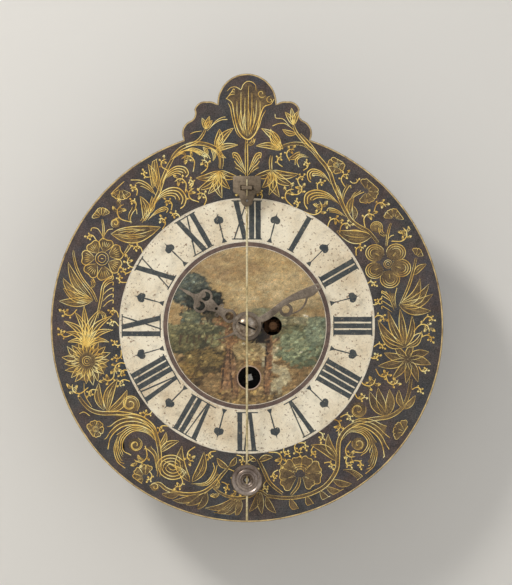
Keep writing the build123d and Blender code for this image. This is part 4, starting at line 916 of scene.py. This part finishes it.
def daisy(middle, reach, count, width):
    half = math.pi / count * 0.8
    for ringReach, first, offset in ((1.0, 0.42, 0.0), (0.74, 0.3, 0.5)):
        for k in range(count):
            a = 2 * math.pi * (k + offset) / count + random.uniform(-0.06, 0.06)
            size = reach * ringReach * random.uniform(0.9, 1.08)
            tip = around(middle, size, a + random.uniform(-0.16, 0.16))
            for turn in (half, -half):
                foot = around(middle, reach * first, a + turn * 0.5)
                stroke([foot, around(middle, size * 0.72, a + turn), tip], width * 0.85, perSpan=3)
    disc(middle, reach * 0.86, 24)
    heart(middle, reach * 0.2, width)


def coil(middle, reach, turns, start, hand=1, width=1.0, lines=2):
    count = int(turns * 10)
    for k in range(lines):
        points = []
        for i in range(count + 1):
            t = i / count
            out = reach * (1 - 0.82 * t) * (1 - 0.2 * k)
            points.append(around(middle, out, start + hand * 2 * math.pi * turns * t))
        stroke(points[: int(count * (1 - 0.3 * k)) + 1], width * (1 - 0.2 * k), bulb=0.5, perSpan=2)
    disc(middle, reach * 0.92, 18)


def roundPetal(middle, reach, angle, width=0.85):  # a petal of nested arcs, open towards the flower's heart
    for size, gape in ((1.0, 0.35), (0.74, 0.7), (0.5, 1.0)):
        first, sweep = angle + math.pi + gape, 2 * math.pi - 2 * gape
        points = [around(middle, reach * size, first + sweep * i / 8, 0.9) for i in range(9)]
        stroke(points, width * (0.8 + 0.2 * size), perSpan=2)
    for k in (-1, 0, 1):
        stroke([around(middle, -reach * 0.8, angle), around(middle, reach * 0.25, angle + k * 0.35)], width * 0.7)
    disc(middle, reach, 16, 0.9)


paintLandscape()
painting = cutPainting()
brushwork = painting.data.color_attributes.new("brushwork", "FLOAT_COLOR", "POINT")
for corner, shade in zip(painting.data.vertices, brushwork.data):
    column = (1000 * (corner.co.x - sheet["handsX"]) + canvasReach) / canvasStep
    row = (1000 * (corner.co.z - sheet["handsZ"]) + canvasReach) / canvasStep
    tone = canvas[int(round(column)), int(round(row))]
    shade.color = (*[min(1, max(0, part)) for part in tone], 1)
painted(painting, landscapePaint())

# crest: tulip, stem, curls and the buds on the shoulders
stroke(
    [
        (226, 98), (232, 103), (234, 114), (237.5, 129), (242, 136), (247.5, 139.5), (252.5, 137), (257, 130),
        (260, 117), (264, 107), (271, 104), (274, 99),
    ],
    1.5,
)
stroke([(228, 103), (230.5, 108), (232, 116), (236, 131), (241, 138)], 0.9)
stroke([(255, 134), (259, 127), (262, 117), (266, 110)], 0.9)
for lift in (0, 3, 6):
    stroke([(226 + lift * 0.8, 99 - lift), (230 + lift * 0.6, 95 - lift * 1.0), (235, 94 - lift * 0.6)], 0.8)
stroke(
    [(227, 91), (231, 87.5), (236, 87), (241, 89.5), (243, 85), (247, 81.5), (252, 82), (255.5, 85.5), (256, 91)],
    0.9,
)
coil((261.5, 93.5), 4.6, 1.0, 0.5, 1, 0.8, 1)
coil((270, 100), 4.0, 1.0, -1.5, -1, 0.8, 1)
tulipLines = (
    ((237, 101), (243.5, 134)), ((241, 92), (245, 135)), ((245, 97), (246.5, 136)), ((248.5, 86), (248, 136)),
    ((252, 93), (249.5, 135)), ((256.5, 100), (251, 134)), ((260, 101), (254, 130)),
)
for k, (top, foot) in enumerate(tulipLines):
    stroke([top, ((top[0] + foot[0]) / 2 + (k - 3) * 0.9, (top[1] + foot[1]) / 2), foot], 0.85)
for side in (-1, 1):
    stroke([(247 + side * 2, 134), (247 + side * 7, 122), (247 + side * 6, 108)], 0.9)
    stroke([(247 + side * 1, 131), (247 + side * 3.4, 120), (247 + side * 1.5, 109)], 0.8)
fill([
    (228, 99), (233, 110), (237, 128), (242, 136), (247.5, 139), (252.5, 136), (257, 128), (260, 116), (264, 107),
    (271, 101), (262, 91), (256, 88), (248, 82), (241, 88), (232, 89),
])
stem([(246.5, 140), (246.4, 150), (246.6, 162), (246.5, 176)], 1.3, 1.05)
for side in (-1, 1):
    for way, fan, count, width in (
        (((1.5, 172), (5, 162), (9, 154), (14, 153), (13.5, 158)), 4, 3, 1.05),
        (((1.5, 175), (6, 168), (10, 164.5), (12.5, 161)), 2.5, 2, 0.95),
    ):
        plume([(247 + side * across, y) for across, y in way], fan, count, -side, width)
leaf((215.5, 147), (219.5, 129), 3.6, -0.1, 1, 1.05)
leaf((217, 149), (233.5, 128), 3.4, 0.1, 1, 1.05)
leaf((215, 151), (238, 145), 2.6, 0.08, 1, 1.0)
leaf((281, 149), (261.5, 128.5), 3.6, -0.12, 1, 1.1)
leaf((283, 149), (270.5, 129), 3.2, 0.12, 1, 1.1)
leaf((281, 150), (256, 146), 2.8, -0.1, 1, 1.05)
leaves((205.5, 129), ((202, 118, 2.0, -0.05), (209.5, 116, 2.0, 0), (212.5, 120.5, 2.0, 0.05)), 0, 0.85)
stem([(205.5, 129), (202, 136), (196, 142), (186, 146)], 1.1, 0.85)
stroke([(207, 131), (214, 124), (221, 120), (227.5, 119.5)], 0.95, 0.6)
stroke([(209, 129), (216, 121), (222, 117.5), (225.5, 117)], 0.8, 0.5)
stroke([(202, 131), (195, 132), (190, 134)], 0.8)
leaves((293.5, 125), ((285, 112, 2.3, -0.05), (291.5, 108, 2.3, 0), (298.5, 111, 2.3, 0.05)), 0, 0.85)
stem([(293.5, 125), (296, 132), (303, 141), (309, 148)], 1.1, 0.9)
stroke([(294, 130), (286, 124), (279, 123.5), (272.5, 126)], 0.95, 0.6)
stroke([(289, 125), (283, 119), (276, 118), (275, 114)], 0.8, 0.5)
leaf((296, 134), (282.5, 129.5), 2.4, 0.1, 0, 0.85)

# left of the stem: arch, hanging lily and rim acanthus
stem([(221, 169), (222, 160), (218.5, 151), (208, 145), (194, 143.5), (180, 149), (172, 158)], 1.7)
stroke([(219, 168), (219, 158), (214, 150), (206, 148)], 0.9)
leaf((203, 147), (207, 157), 1.5, 0.15, 0, 0.8)
leaf((211, 149), (213, 161), 1.5, 0.2, 0, 0.8)
leaf((220, 150), (226, 158), 1.5, -0.2, 0, 0.8)
leaves(
    (219.5, 171),
    (
        (196, 178, 3.6, 0.12), (197, 190, 3.8, 0.12), (208, 194, 3.9, 0.12), (222, 198, 4.3, -0.12),
        (230, 189, 3.4, -0.12), (238, 177, 3.6, -0.12),
    ),
    1, 0.95,
)
for k in range(5):
    hair = [
        (171 + k * 2, 160 - k * 1.2), (180 + k * 3, 152 - k), (192 + k * 3.5, 151 + k * 0.6),
        (200 + k * 2.6, 155 + k),
    ]
    plume(hair, 2, 1, 1, 0.9)
stem([(174, 156), (168, 167), (163, 179), (158.5, 193), (151, 208), (141, 222)], 1.6)
plume([(162, 183), (167, 173), (176, 166.5), (185, 167.5), (188.5, 173), (186, 177)], 6.5, 4, -1, 1.2)
plume([(153, 206), (160, 194), (170, 188), (180, 189), (186, 197), (184.5, 205), (180.5, 208.5)], 8, 4, -1, 1.3)
plume([(148, 220), (156, 211), (164, 207), (168, 209), (166.5, 212.5)], 3.2, 3, -1, 1.0)
leaf((160, 192), (154.5, 153), 3.6, 0.05, 3, 0.8)
leaf((153, 188), (148, 164), 3.2, -0.12, 1, 0.85)
plume([(156, 196), (150, 186), (141, 180.5), (131, 180)], 4, 3, 1, 0.95)
petals((121, 188), 12, (2.2, 2.9, 3.6, 4.3, 0.9, 1.55), 0.42, 0.2, 3, 0.75)
leaf((145, 221), (140, 196), 4.2, -0.14, 2, 0.95)
leaf((149, 214), (152, 196), 2.6, -0.1, 1, 0.8)
plume([(131, 224), (131, 216), (136, 209), (137, 214)], 2.5, 2, 1, 0.85)
leaf((111, 234), (160.5, 227), 8.2, -0.08, 3, 1.05)
stroke([(116, 231), (132, 229), (146, 231)], 0.75)
stroke([(120, 236), (134, 236.5), (145, 235)], 0.75)
coil((115.5, 223), 5, 1.2, 2.0, 1, 0.85, 2)
petals((101.5, 217), 9.5, (3.9, 4.4, 5.0, 5.5, 3.3), 0.34, 0.2, 1, 0.75)
stem([(102, 219), (103.5, 228), (103, 240)], 0.8, 0.8)
stroke([(103, 237), (98, 229), (92, 228), (91, 231)], 0.9, 0.6)
stroke([(104, 236), (108, 230), (113, 229)], 0.85, 0.4)
bloom((102, 258.5), 21, 7, 0.5, 5, 0.32, 0.95)
plume([(121, 258), (127, 252), (131, 246), (129, 244.5)], 2, 2, 1, 0.85)
stem([(73, 250), (76, 266), (83, 280), (92, 291), (97, 302)], 1.0, 0.85)
leaves((93, 300), ((63, 288, 4.4, 0.12), (59, 301, 4.4, 0.05), (62, 277, 4.4, 0.15), (68, 262, 4.4, 0.1)), 2, 0.8)
for k in range(5):
    stroke([(103, 307 - k * 6), (108, 302 - k * 6), (113, 300 - k * 6), (113, 303.5 - k * 6)], 0.95, 0.6)
stem([(97, 318), (101, 300), (104, 284), (112, 279)], 1.2, 0.9)
leaves(
    (87, 347),
    (
        (64, 321, 3.2, -0.15), (66, 332, 2.8, -0.18), (68, 342, 2.2, -0.2), (75, 312, 3.2, -0.1),
        (84, 306, 3.2, 0.0), (99, 310, 3.4, 0.1), (112, 316, 3.4, 0.14), (113, 330, 3.0, 0.18),
        (109, 342, 2.3, 0.2),
    ),
    1, 1.05,
)
daisy((87, 361), 23.5, 19, 0.95)
leaf((107, 411), (117.5, 379), 4.6, 0.1, 2, 0.95)
leaf((108, 412), (127, 390), 4.2, -0.14, 1, 0.95)
leaf((104, 410), (99, 383), 3.6, 0.12, 1, 0.85)
stem(
    [
        (79, 397), (88, 408), (100, 413), (112, 413), (125, 414), (141, 418), (153, 428), (158.5, 445),
        (160, 460), (158.5, 476),
    ],
    1.9, 1.05,
)
stroke([(84, 383), (85, 395), (92, 407)], 0.85)
coil((130, 404), 10, 1.5, 0.8, -1, 1.0, 2)
bloom((95.5, 429), 9, 6, 0.2, 2, 0.3, 0.8)
stroke([(79, 414), (84, 412), (90, 416)], 0.8, 0.5)
plume([(157, 444), (151, 431), (137, 425), (122, 427), (111, 437), (108, 449)], 9, 4, -1, 1.15)
plume([(156, 441), (147, 433), (134, 431), (124, 439), (123, 450), (131, 455)], 5, 4, -1, 1.05)
plume([(118, 436), (114, 448), (117, 461), (125, 468)], 5, 4, 1, 0.9)
coil((135.5, 445), 7.5, 1.3, -1.2, 1, 1.0, 2)
plume([(156, 468), (154, 456), (147, 449), (144, 449)], 3, 2, -1, 0.9)
leaf((160, 452), (179, 441), 3.2, 0.1, 1, 0.9)
leaf((159, 447), (166, 432), 2.4, -0.12, 0, 0.85)
petals((145, 477), 12.5, (2.4, 3.1, 3.8, 4.5, 5.1), 0.36, 0.2, 3, 0.85)
for k, reach in enumerate((15, 11.5, 8, 4.5)):
    stroke([around((171, 468), reach, a, 0.86) for a in (2.9, 3.6, 4.3, 5.0, 5.7)], 1.1 - 0.08 * k, 0.3)
    stroke([around((173, 466), reach, a, 0.9) for a in (0.3, 1.0, 1.7, 2.4, 3.0)], 1.1 - 0.08 * k, 0.3)
for k in range(4):
    stroke([(160 + k * 4, 459 + k * 2), (170 + k * 4, 464 + k * 1.5), (184 + k * 2, 474 + k)], 0.8)
disc((172, 467), 15, 16, 13 / 15)
leaf((190, 482), (182, 446), 5, 0.16, 2, 0.9)
leaf((192, 482), (204, 452), 4.4, -0.12, 2, 0.9)
plume([(191, 484), (206, 482), (214, 470), (213, 463)], 3.4, 3, -1, 0.95)
stem([(150, 487), (158, 483), (168, 490), (184, 494), (200, 493), (212, 486), (222, 474)], 1.5)
coil((155, 487), 4.5, 1.1, 3.0, 1, 0.9, 1)

# right of the stem
stem(
    [
        (281, 147), (293.5, 143.5), (307, 146), (319, 158), (329, 171), (334, 185), (339.5, 197), (345, 210),
        (354, 223), (368, 231), (378, 243),
    ],
    1.7,
)
stem([(300, 134), (311, 146), (320, 159)], 1.2, 0.9)
stem([(271.5, 155.5), (270.5, 162), (271, 170)], 1.3, 0.95)
leaves(
    (272, 170.5),
    (
        (255, 176, 3.6, 0.12), (262, 188, 3.4, 0.12), (269, 195, 3.4, 0.12), (279.5, 197, 4.2, -0.12),
        (293, 185, 4.0, -0.12), (298.5, 174, 3.6, -0.12),
    ),
    1, 1.0,
)
leaf((300, 152), (288.5, 159), 2.4, 0.1, 0, 0.9)
plume([(309, 157), (301, 157), (297, 161), (299, 167)], 3, 3, -1, 1.0)
plume([(331, 184), (323, 173), (313, 169), (307.5, 173), (308.5, 180), (311, 182)], 6, 4, 1, 1.2)
plume([(340, 205), (329, 194), (316, 190), (306, 194), (304.5, 203), (307.5, 209)], 7.5, 4, 1, 1.3)
plume([(346, 217), (337, 210), (329, 208), (327, 211)], 3, 3, 1, 1.0)
bloom((336, 165), 8.5, 6, 0.3, 2, 0.3, 0.8)
leaf((342, 200), (337.5, 185), 2.2, 0.1, 0, 0.85)
plume([(343, 202), (345, 193), (350, 185.5), (351, 188)], 2, 2, 1, 0.9)
petals((366, 191), 12.5, (5.3, 6.0, 0.4, 1.1, 4.6, 1.8), 0.42, 0.2, 3, 0.75)
plume([(350, 200), (357, 195), (364, 192)], 2.5, 3, 1, 0.85)
leaf((350, 214), (354, 196), 2.8, 0.12, 1, 0.9)
leaf((354, 220), (352.5, 205), 2.2, -0.12, 1, 0.8)
leaf((372, 236), (336.5, 231), 6.4, 0.1, 3, 1.0)
stroke([(369, 233), (356, 230), (346, 231)], 0.75)
petals((394, 219), 10.5, (3.6, 4.2, 4.8, 5.4, 6.0), 0.36, 0.2, 2, 0.8)
stem([(391, 223), (388, 233), (386.5, 246)], 0.9, 0.85)
stroke([(387, 240), (391, 236), (394, 235)], 0.9, 0.5)
roundPetal((376.5, 227), 6, -1.2)
for x, y, angle, reach in (
    (375, 253, 3.7, 9.3), (396, 252.5, 5.4, 9.6), (401, 268, 0.3, 9.8), (390, 279, 1.4, 9.8),
    (374.5, 270.5, 2.6, 8.8),
):
    roundPetal((x, y), reach, angle, 0.95)
heart((388, 264), 4.2)
petals((416, 257), 9, (4.6, 5.2, 5.8), 0.34, 0.2, 2, 0.8)
stem([(416, 258), (413, 272), (408, 288), (401, 303)], 1.1, 0.9)
leaf((414, 275), (426.5, 264), 2.6, 0.1, 1, 0.85)
leaves(
    (399, 305),
    ((429, 284, 4.4, -0.16), (433, 294, 4.4, -0.12), (431, 311, 4.4, -0.08), (420, 279, 4.4, -0.2)), 2, 0.9,
)
plume([(394, 310), (389, 298), (381.5, 292)], 3, 3, -1, 0.85)
plume([(396, 308), (395, 297), (397, 288)], 2, 2, 1, 0.85)
for k in range(4):
    stroke([(392, 312 - k * 5), (386, 308 - k * 5), (382, 306 - k * 5), (382, 309 - k * 5)], 0.85, 0.5)
leaves(
    (405, 347),
    (
        (380, 333, 3.6, 0.15), (378, 320, 4.0, 0.12), (388, 311, 3.6, 0.06), (400, 309, 3.2, 0.0),
        (412, 316, 3.0, -0.1), (422, 331, 2.4, -0.2),
    ),
    1, 0.95,
)
stroke([(408, 346), (414, 336), (421, 333), (422.5, 336)], 1.0, 0.6)
leaves(
    (407.5, 359),
    (
        (378, 366, 4.0, 0.06), (384, 353, 3.8, 0.06), (395, 345, 3.2, 0.06), (413, 344, 3.2, 0.06),
        (429, 352, 4.2, 0.06), (431, 364.5, 4.2, 0.06), (418, 382, 3.6, 0.06), (406, 383, 3.2, 0.06),
        (392, 379, 3.2, 0.06),
    ),
    2, 0.85,
)
heart((407.5, 359), 3.2)
stem(
    [
        (411, 379), (408.5, 394), (402, 408), (388, 417), (367, 420), (348, 428), (339, 441), (338, 457),
        (336, 471), (325, 486), (307, 495), (288, 498), (268, 496),
    ],
    1.8, 1.05,
)
leaves((386.5, 416), ((369.5, 391.5, 4.2, 0.1), (378, 388, 4.2, 0.05), (389.5, 389.5, 4.2, -0.08)), 2, 0.85)
leaf((402, 409), (415.5, 395.5), 2.8, -0.1, 1, 0.85)
leaf((403, 408), (399, 390), 2.8, 0.1, 1, 0.85)
coil((358, 410), 8.5, 1.4, -0.4, 1, 1.0, 2)
petals((405, 432), 12, (2.7, 3.3, 3.9, 4.6, 0.2, 0.8), 0.34, 0.2, 3, 0.8)
plume([(347, 430), (358, 426), (371, 431), (381, 442), (385, 459)], 9, 4, 1, 1.15)
plume([(342, 440), (350, 432), (362, 434), (368, 443), (363, 452), (355, 452)], 5, 4, 1, 1.05)
plume([(372, 440), (377, 452), (374, 466), (366, 474)], 5, 4, -1, 0.95)
coil((358.5, 444), 7, 1.3, 3.6, -1, 1.0, 2)
leaf((337, 461), (311, 445), 4.2, -0.12, 2, 0.95)
leaf((338, 458), (328, 434), 3.6, 0.14, 2, 0.95)
plume([(343, 470), (353, 470), (364, 478), (360, 484)], 4, 4, -1, 0.8)
for k, a in enumerate((2.5, 3.14, 3.8, 4.5, 5.2, 5.9, 0.2, 0.8)):
    petal((300, 474), (22, 21, 19, 17.5, 19, 22, 22, 18)[k], a, 0.38, 0.24, 4, 0.95)
for k in range(3):
    stroke(
        [(300 + (10 - k * 3) * math.cos(a), 472 + (8 - k * 2.4) * math.sin(a)) for a in (3.0, 3.9, 4.7, 5.5, 6.3)],
        0.85,
    )
stem([(300, 477), (298, 486), (291, 495)], 1.2, 0.9)
stem([(258, 459), (264, 471), (270, 483), (282, 493)], 1.4)
leaf((259, 461), (272.5, 457), 2.6, 0.1, 1, 0.95)
leaf((256, 461), (249, 455), 2.0, 0.1, 0, 0.9)

# round and under the bob
leaf((228, 468), (217, 458), 2.6, 0.1, 1, 0.95)
leaf((230, 466), (236, 457), 2.4, -0.1, 0, 0.9)
stem([(230, 466), (222, 475), (214, 486)], 1.2, 0.9)
for foot, tip, bend in (
    ((236, 497), (205, 508), 0.14), ((237, 499), (213, 515), 0.1), ((239, 500), (224, 516), 0.08),
    ((241, 500), (236, 517), 0.0),
    ((259, 492), (249, 512), 0.1), ((261, 493), (262, 514), -0.05), ((266, 497), (276, 513), -0.1),
    ((205, 493), (186, 505), 0.1),
    ((200, 494), (172, 501), 0.08), ((207, 492), (196, 510), 0.12), ((290, 499), (300, 512), -0.1),
    ((306, 496), (316, 509), -0.1),
    ((320, 491), (334, 502), -0.12), ((326, 487), (346, 493), -0.1), ((180, 493), (162, 494), 0.1),
    ((333, 480), (352, 484), -0.1),
):
    leaf(foot, tip, 3.0, bend, 1, 0.8)
stem([(212, 486), (222, 494), (236, 498), (250, 496), (259, 491), (268, 496)], 1.2, 0.9)


def onPlate(point):  # nothing is painted over the plate's edge
    du, dv = point[0] - sheet["middleX"], point[1] - sheet["middleY"]
    size = math.hypot(du, dv)
    if size > gilt["edge"] and (abs(du) > 72 or dv > 0):
        return sheet["middleX"] + du / size * gilt["edge"], sheet["middleY"] + dv / size * gilt["edge"]
    return point


taken = {}


def claim(points):
    for x, y in points:
        taken.setdefault((int(x // 8), int(y // 8)), []).append((x, y))


def clear(x, y, reach):
    for i in (-1, 0, 1):
        for j in (-1, 0, 1):
            for px, py in taken.get((int(x // 8) + i, int(y // 8) + j), ()):
                if math.hypot(px - x, py - y) < reach:
                    return False
    return True


def inBand(x, y):
    return gilt["bandLow"] < math.hypot(x - sheet["middleX"], y - sheet["middleY"]) < gilt["bandHigh"]


def free(run, room):
    return all(clear(x, y, room) and inBand(x, y) for x, y in run)


def hookedLeaf(base, turn, reach, side, width=0.9):  # three nested lines that curl over at the tip
    for spread, share in ((0.0, 1.0), (0.34, 0.86), (0.68, 0.66)):
        points = []
        for i in range(6):
            t = i / 5
            lean = turn + side * (spread * math.sin(math.pi * min(1, t * 1.2) * 0.62) + 1.5 * t * t * share)
            points.append(around(base, reach * share * t, lean))
        stroke(points, width * (1.05 - 0.3 * spread), bulb=0.8 if spread == 0 else 0.3, perSpan=3)
    claim([around(base, reach * 0.5, turn + side * 0.5), around(base, reach * 0.85, turn + side * 0.9)])
    fill([
        around(base, 1, turn), around(base, reach * 0.55, turn), around(base, reach * 0.95, turn + side * 0.8),
        around(base, reach * 0.6, turn + side * 1.1),
    ])


def curl(base, heading, reach, bend, steps):
    return [around(base, reach * i / steps, heading + bend * (i / steps) ** 2) for i in range(steps + 1)]


def clothe():  # hooked leaves up both sides of the main stems, wherever there is room
    made = 0
    for run in stems:
        for i in range(1, len(run) - 2, 2):
            along = math.atan2(run[i + 1][1] - run[i][1], run[i + 1][0] - run[i][0])
            for side in (-1, 1):
                reach = random.uniform(*gilt["leafReach"])
                spine = [around(run[i], d, along + side * 0.45 + side * 0.45) for d in (4.4, 6.5, reach * 0.9)]
                if free(spine, gilt["leafRoom"]):
                    hookedLeaf(run[i], along + side * 0.45, reach, side)
                    made += 1
    print(made, "leaves on the stems")


def sprays():  # leafy sprays follow the ring: a curled stem with hooked leaves on both sides
    made = 0
    for k in range(gilt["sprayTries"]):
        a = random.uniform(0, 2 * math.pi)
        base = around((sheet["middleX"], sheet["middleY"]), random.uniform(131, 186), a)
        hand = random.choice((-1, 1))
        heading = a + math.pi / 2 * hand + random.uniform(-0.5, 0.5)
        reach = random.uniform(*(gilt["sprayLong"] if made < gilt["sprays"] * 0.3 else gilt["sprayShort"]))
        run = curl(base, heading, reach, hand * 1.5, 10)
        if not free(run[:9], gilt["sprayRoom"]):
            continue
        stroke(run[::2] + run[-1:], 1.25, bulb=0.8, perSpan=3)
        for i, side in ((1, 1), (2, -1), (4, 1), (5, -1), (7, 1)):
            along = math.atan2(run[i + 1][1] - run[i][1], run[i + 1][0] - run[i][0])
            hookedLeaf(run[i], along + side * 0.35, reach * (0.44 - 0.03 * i), side)
        claim(run)
        made += 1
        if made >= gilt["sprays"]:
            break
    print(made, "sprays")


def sprigs():  # small curled tendrils where the ground is still bare
    made = 0
    for k in range(gilt["sprigTries"]):
        a = random.uniform(0, 2 * math.pi)
        base = around((sheet["middleX"], sheet["middleY"]), random.uniform(132, 186), a)
        if not clear(*base, gilt["sprigStart"]):
            continue
        hand = random.choice((-1, 1))
        heading = a + math.pi / 2 * hand + random.uniform(-0.7, 0.7)
        reach = random.uniform(*gilt["sprigReach"])
        run = curl(base, heading, reach, hand * 1.9, 7)
        if not free(run, gilt["sprigRoom"]):
            continue
        stroke(run[::2] + run[-1:], 1.0, bulb=0.6, perSpan=3)
        hookedLeaf(run[2], heading - hand * 0.3, reach * 0.5, -hand, 0.85)
        claim(run)
        made += 1
        if made >= gilt["sprigs"]:
            break
    print(made, "sprigs")


for run, widths in strokes:
    claim(run)
clothe()
sprays()
sprigs()
strokes = [([onPlate(point) for point in run], widths) for run, widths in strokes]
fills = [[onPlate(point) for point in outline] for outline in fills]


def flattenedCurve(name, depth, resolution, runs, cyclic, flat, finish):  # runs of (x, z, radius)
    curve = bpy.data.curves.new(name, "CURVE")
    curve.dimensions = "3D"
    curve.bevel_depth = depth
    curve.bevel_resolution = resolution
    for run in runs:
        spline = curve.splines.new("POLY")
        spline.points.add(len(run) - 1)
        for point, (x, z, radius) in zip(spline.points, run):
            point.co = (x, 0, z, 1)
            point.radius = radius
        spline.use_cyclic_u = cyclic
    piece = bpy.data.objects.new(name, curve)
    bpy.context.scene.collection.objects.link(piece)
    pick(piece)
    bpy.ops.object.convert(target="MESH")
    piece = bpy.context.object
    piece.scale = (1, flat, 1)
    piece.location = (0, dialFront, 0)
    settle(piece)
    bpy.ops.object.shade_smooth()
    painted(piece, finish)
    print(name, len(piece.data.polygons), "faces")


print(len(strokes), "gilt strokes and", len(fills), "washes")
left = [s for s in strokes if s[0][0][0] < 247 and s[0][0][1] > 200]
right = [s for s in strokes if s[0][0][0] >= 247 and s[0][0][1] > 200]
upper = [s for s in strokes if s[0][0][1] <= 200]
for name, group in (("gilding_left", left), ("gilding_right", right), ("gilding_crest", upper)):
    runs = [[(*onDial(*spot), w * gilt["lineWidth"]) for spot, w in zip(run, widths)] for run, widths in group]
    flattenedCurve(name, gilt["depth"], 1, runs, False, gilt["flat"], gold)
washes = [[onDial(u, v) for u, v in outline] for outline in fills]
flatShapes("gilding_wash", washes, 0.00001, 0.00002, wash, 0.0000003)

print("gold border")
border = {"inset": 0.0006, "half": 0.00048, "flat": 0.4, "swell": (0.86, 1.08)}
deselect()
rim = bpy.data.objects.new("gold_border_start", nodes["dial_plate"].data.copy())
bpy.context.scene.collection.objects.link(rim)
pick(rim)
bpy.ops.object.mode_set(mode="EDIT")
bpy.ops.mesh.select_all(action="SELECT")
bpy.ops.mesh.remove_doubles(threshold=filed["weld"])
bpy.ops.object.mode_set(mode="OBJECT")
joins = {}
for polygon in rim.data.polygons:
    if polygon.normal.y < -0.9 and polygon.center.y < dialFront + 0.0001:
        for key in polygon.edge_keys:
            joins[key] = joins.get(key, 0) + 1
ways = {}
for (a, b), count in joins.items():
    if count == 1:
        ways.setdefault(a, []).append(b)
        ways.setdefault(b, []).append(a)
corner = max(ways, key=lambda i: rim.data.vertices[i].co.z)
outlineLoop = [corner]
before, here = None, corner
while True:
    ahead = [i for i in ways[here] if i != before]
    before, here = here, ahead[0]
    if here == corner:
        break
    outlineLoop.append(here)
edgePoints = [(rim.data.vertices[i].co.x, rim.data.vertices[i].co.z) for i in outlineLoop]
bpy.data.objects.remove(rim)
inward = 1 if turningSum(edgePoints) > 0 else -1
insetPoints = []
for i, (x, z) in enumerate(edgePoints):
    ax, az = edgePoints[i - 1]
    bx, bz = edgePoints[(i + 1) % len(edgePoints)]
    step = border["inset"] * inward / math.hypot(bx - ax, bz - az)
    insetPoints.append((x - (bz - az) * step, z + (bx - ax) * step, random.uniform(*border["swell"])))
wornGold = plainPaint("wornGoldPaint", paint(140, 112, 72), paint(240, 212, 150), 150)
flattenedCurve("gold_border", border["half"], 2, [insetPoints], True, border["flat"], wornGold)

print("studio")
studio = {
    "wall": paint(226, 224, 220), "floorZ": -0.33, "world": 0.62, "aim": (0, -0.05, -0.1),
    "key": {"location": (-0.95, -1.1, 1.0), "size": 0.32, "power": 15.0, "tint": (1, 0.97, 0.92)},
    "fill": {"location": (1.3, -1.4, 0.1), "size": 1.4, "power": 2.4, "tint": (0.96, 0.98, 1)},
    "cameraX": 0.00619, "cameraZ": -0.0901, "distance": 1.6, "frameHeight": 0.40219,
}


def plainPlane(name, size, location, rotation, oneSided):
    bpy.ops.mesh.primitive_plane_add(size=size, location=location, rotation=rotation)
    plane = bpy.context.object
    plane.name = name
    settle(plane)
    material = bpy.data.materials.new(name + "Paint")
    material.use_nodes = True
    tree = material.node_tree
    shader = tree.nodes["Principled BSDF"]
    shader.inputs["Base Color"].default_value = (*studio["wall"], 1)
    shader.inputs["Roughness"].default_value = 0.9
    shader.inputs["Specular IOR Level"].default_value = 0.1
    if oneSided:  # seen from behind, the wall lets the clock show
        glass = tree.nodes.new("ShaderNodeBsdfTransparent")
        mix = tree.nodes.new("ShaderNodeMixShader")
        facing = tree.nodes.new("ShaderNodeNewGeometry")
        tree.links.new(facing.outputs["Backfacing"], mix.inputs["Fac"])
        tree.links.new(shader.outputs["BSDF"], mix.inputs[1])
        tree.links.new(glass.outputs["BSDF"], mix.inputs[2])
        tree.links.new(mix.outputs["Shader"], tree.nodes["Material Output"].inputs["Surface"])
    plane.data.materials.append(material)


deselect()
plainPlane("studio_wall", 6, (0, 0.0005, 0), (math.pi / 2, 0, 0), True)
plainPlane("studio_floor", 6, (0, 0, studio["floorZ"]), (0, 0, 0), False)


def softLamp(name):
    given = studio[name]
    lamp = bpy.data.lights.new(name, "AREA")
    lamp.shape = "RECTANGLE"
    lamp.size = given["size"]
    lamp.size_y = given["size"]
    lamp.energy = given["power"]
    lamp.color = given["tint"]
    holder = bpy.data.objects.new(name, lamp)
    bpy.context.scene.collection.objects.link(holder)
    holder.location = given["location"]
    holder.rotation_euler = (Vector(studio["aim"]) - Vector(given["location"])).to_track_quat("-Z", "Y").to_euler()


softLamp("key")
softLamp("fill")

world = bpy.data.worlds.new("studioAir")
world.use_nodes = True
world.node_tree.nodes["Background"].inputs["Color"].default_value = (0.86, 0.86, 0.86, 1)
world.node_tree.nodes["Background"].inputs["Strength"].default_value = studio["world"]
bpy.context.scene.world = world

eye = bpy.data.cameras.new("eye")
eye.sensor_width = 36
eye.lens = 36 * studio["distance"] / studio["frameHeight"]
eye.clip_end = 20
camera = bpy.data.objects.new("eye", eye)
bpy.context.scene.collection.objects.link(camera)
camera.location = (studio["cameraX"], dialFront - studio["distance"], studio["cameraZ"])
camera.rotation_euler = (math.pi / 2, 0, 0)
bpy.context.scene.camera = camera
bpy.context.scene.view_settings.view_transform = "Standard"
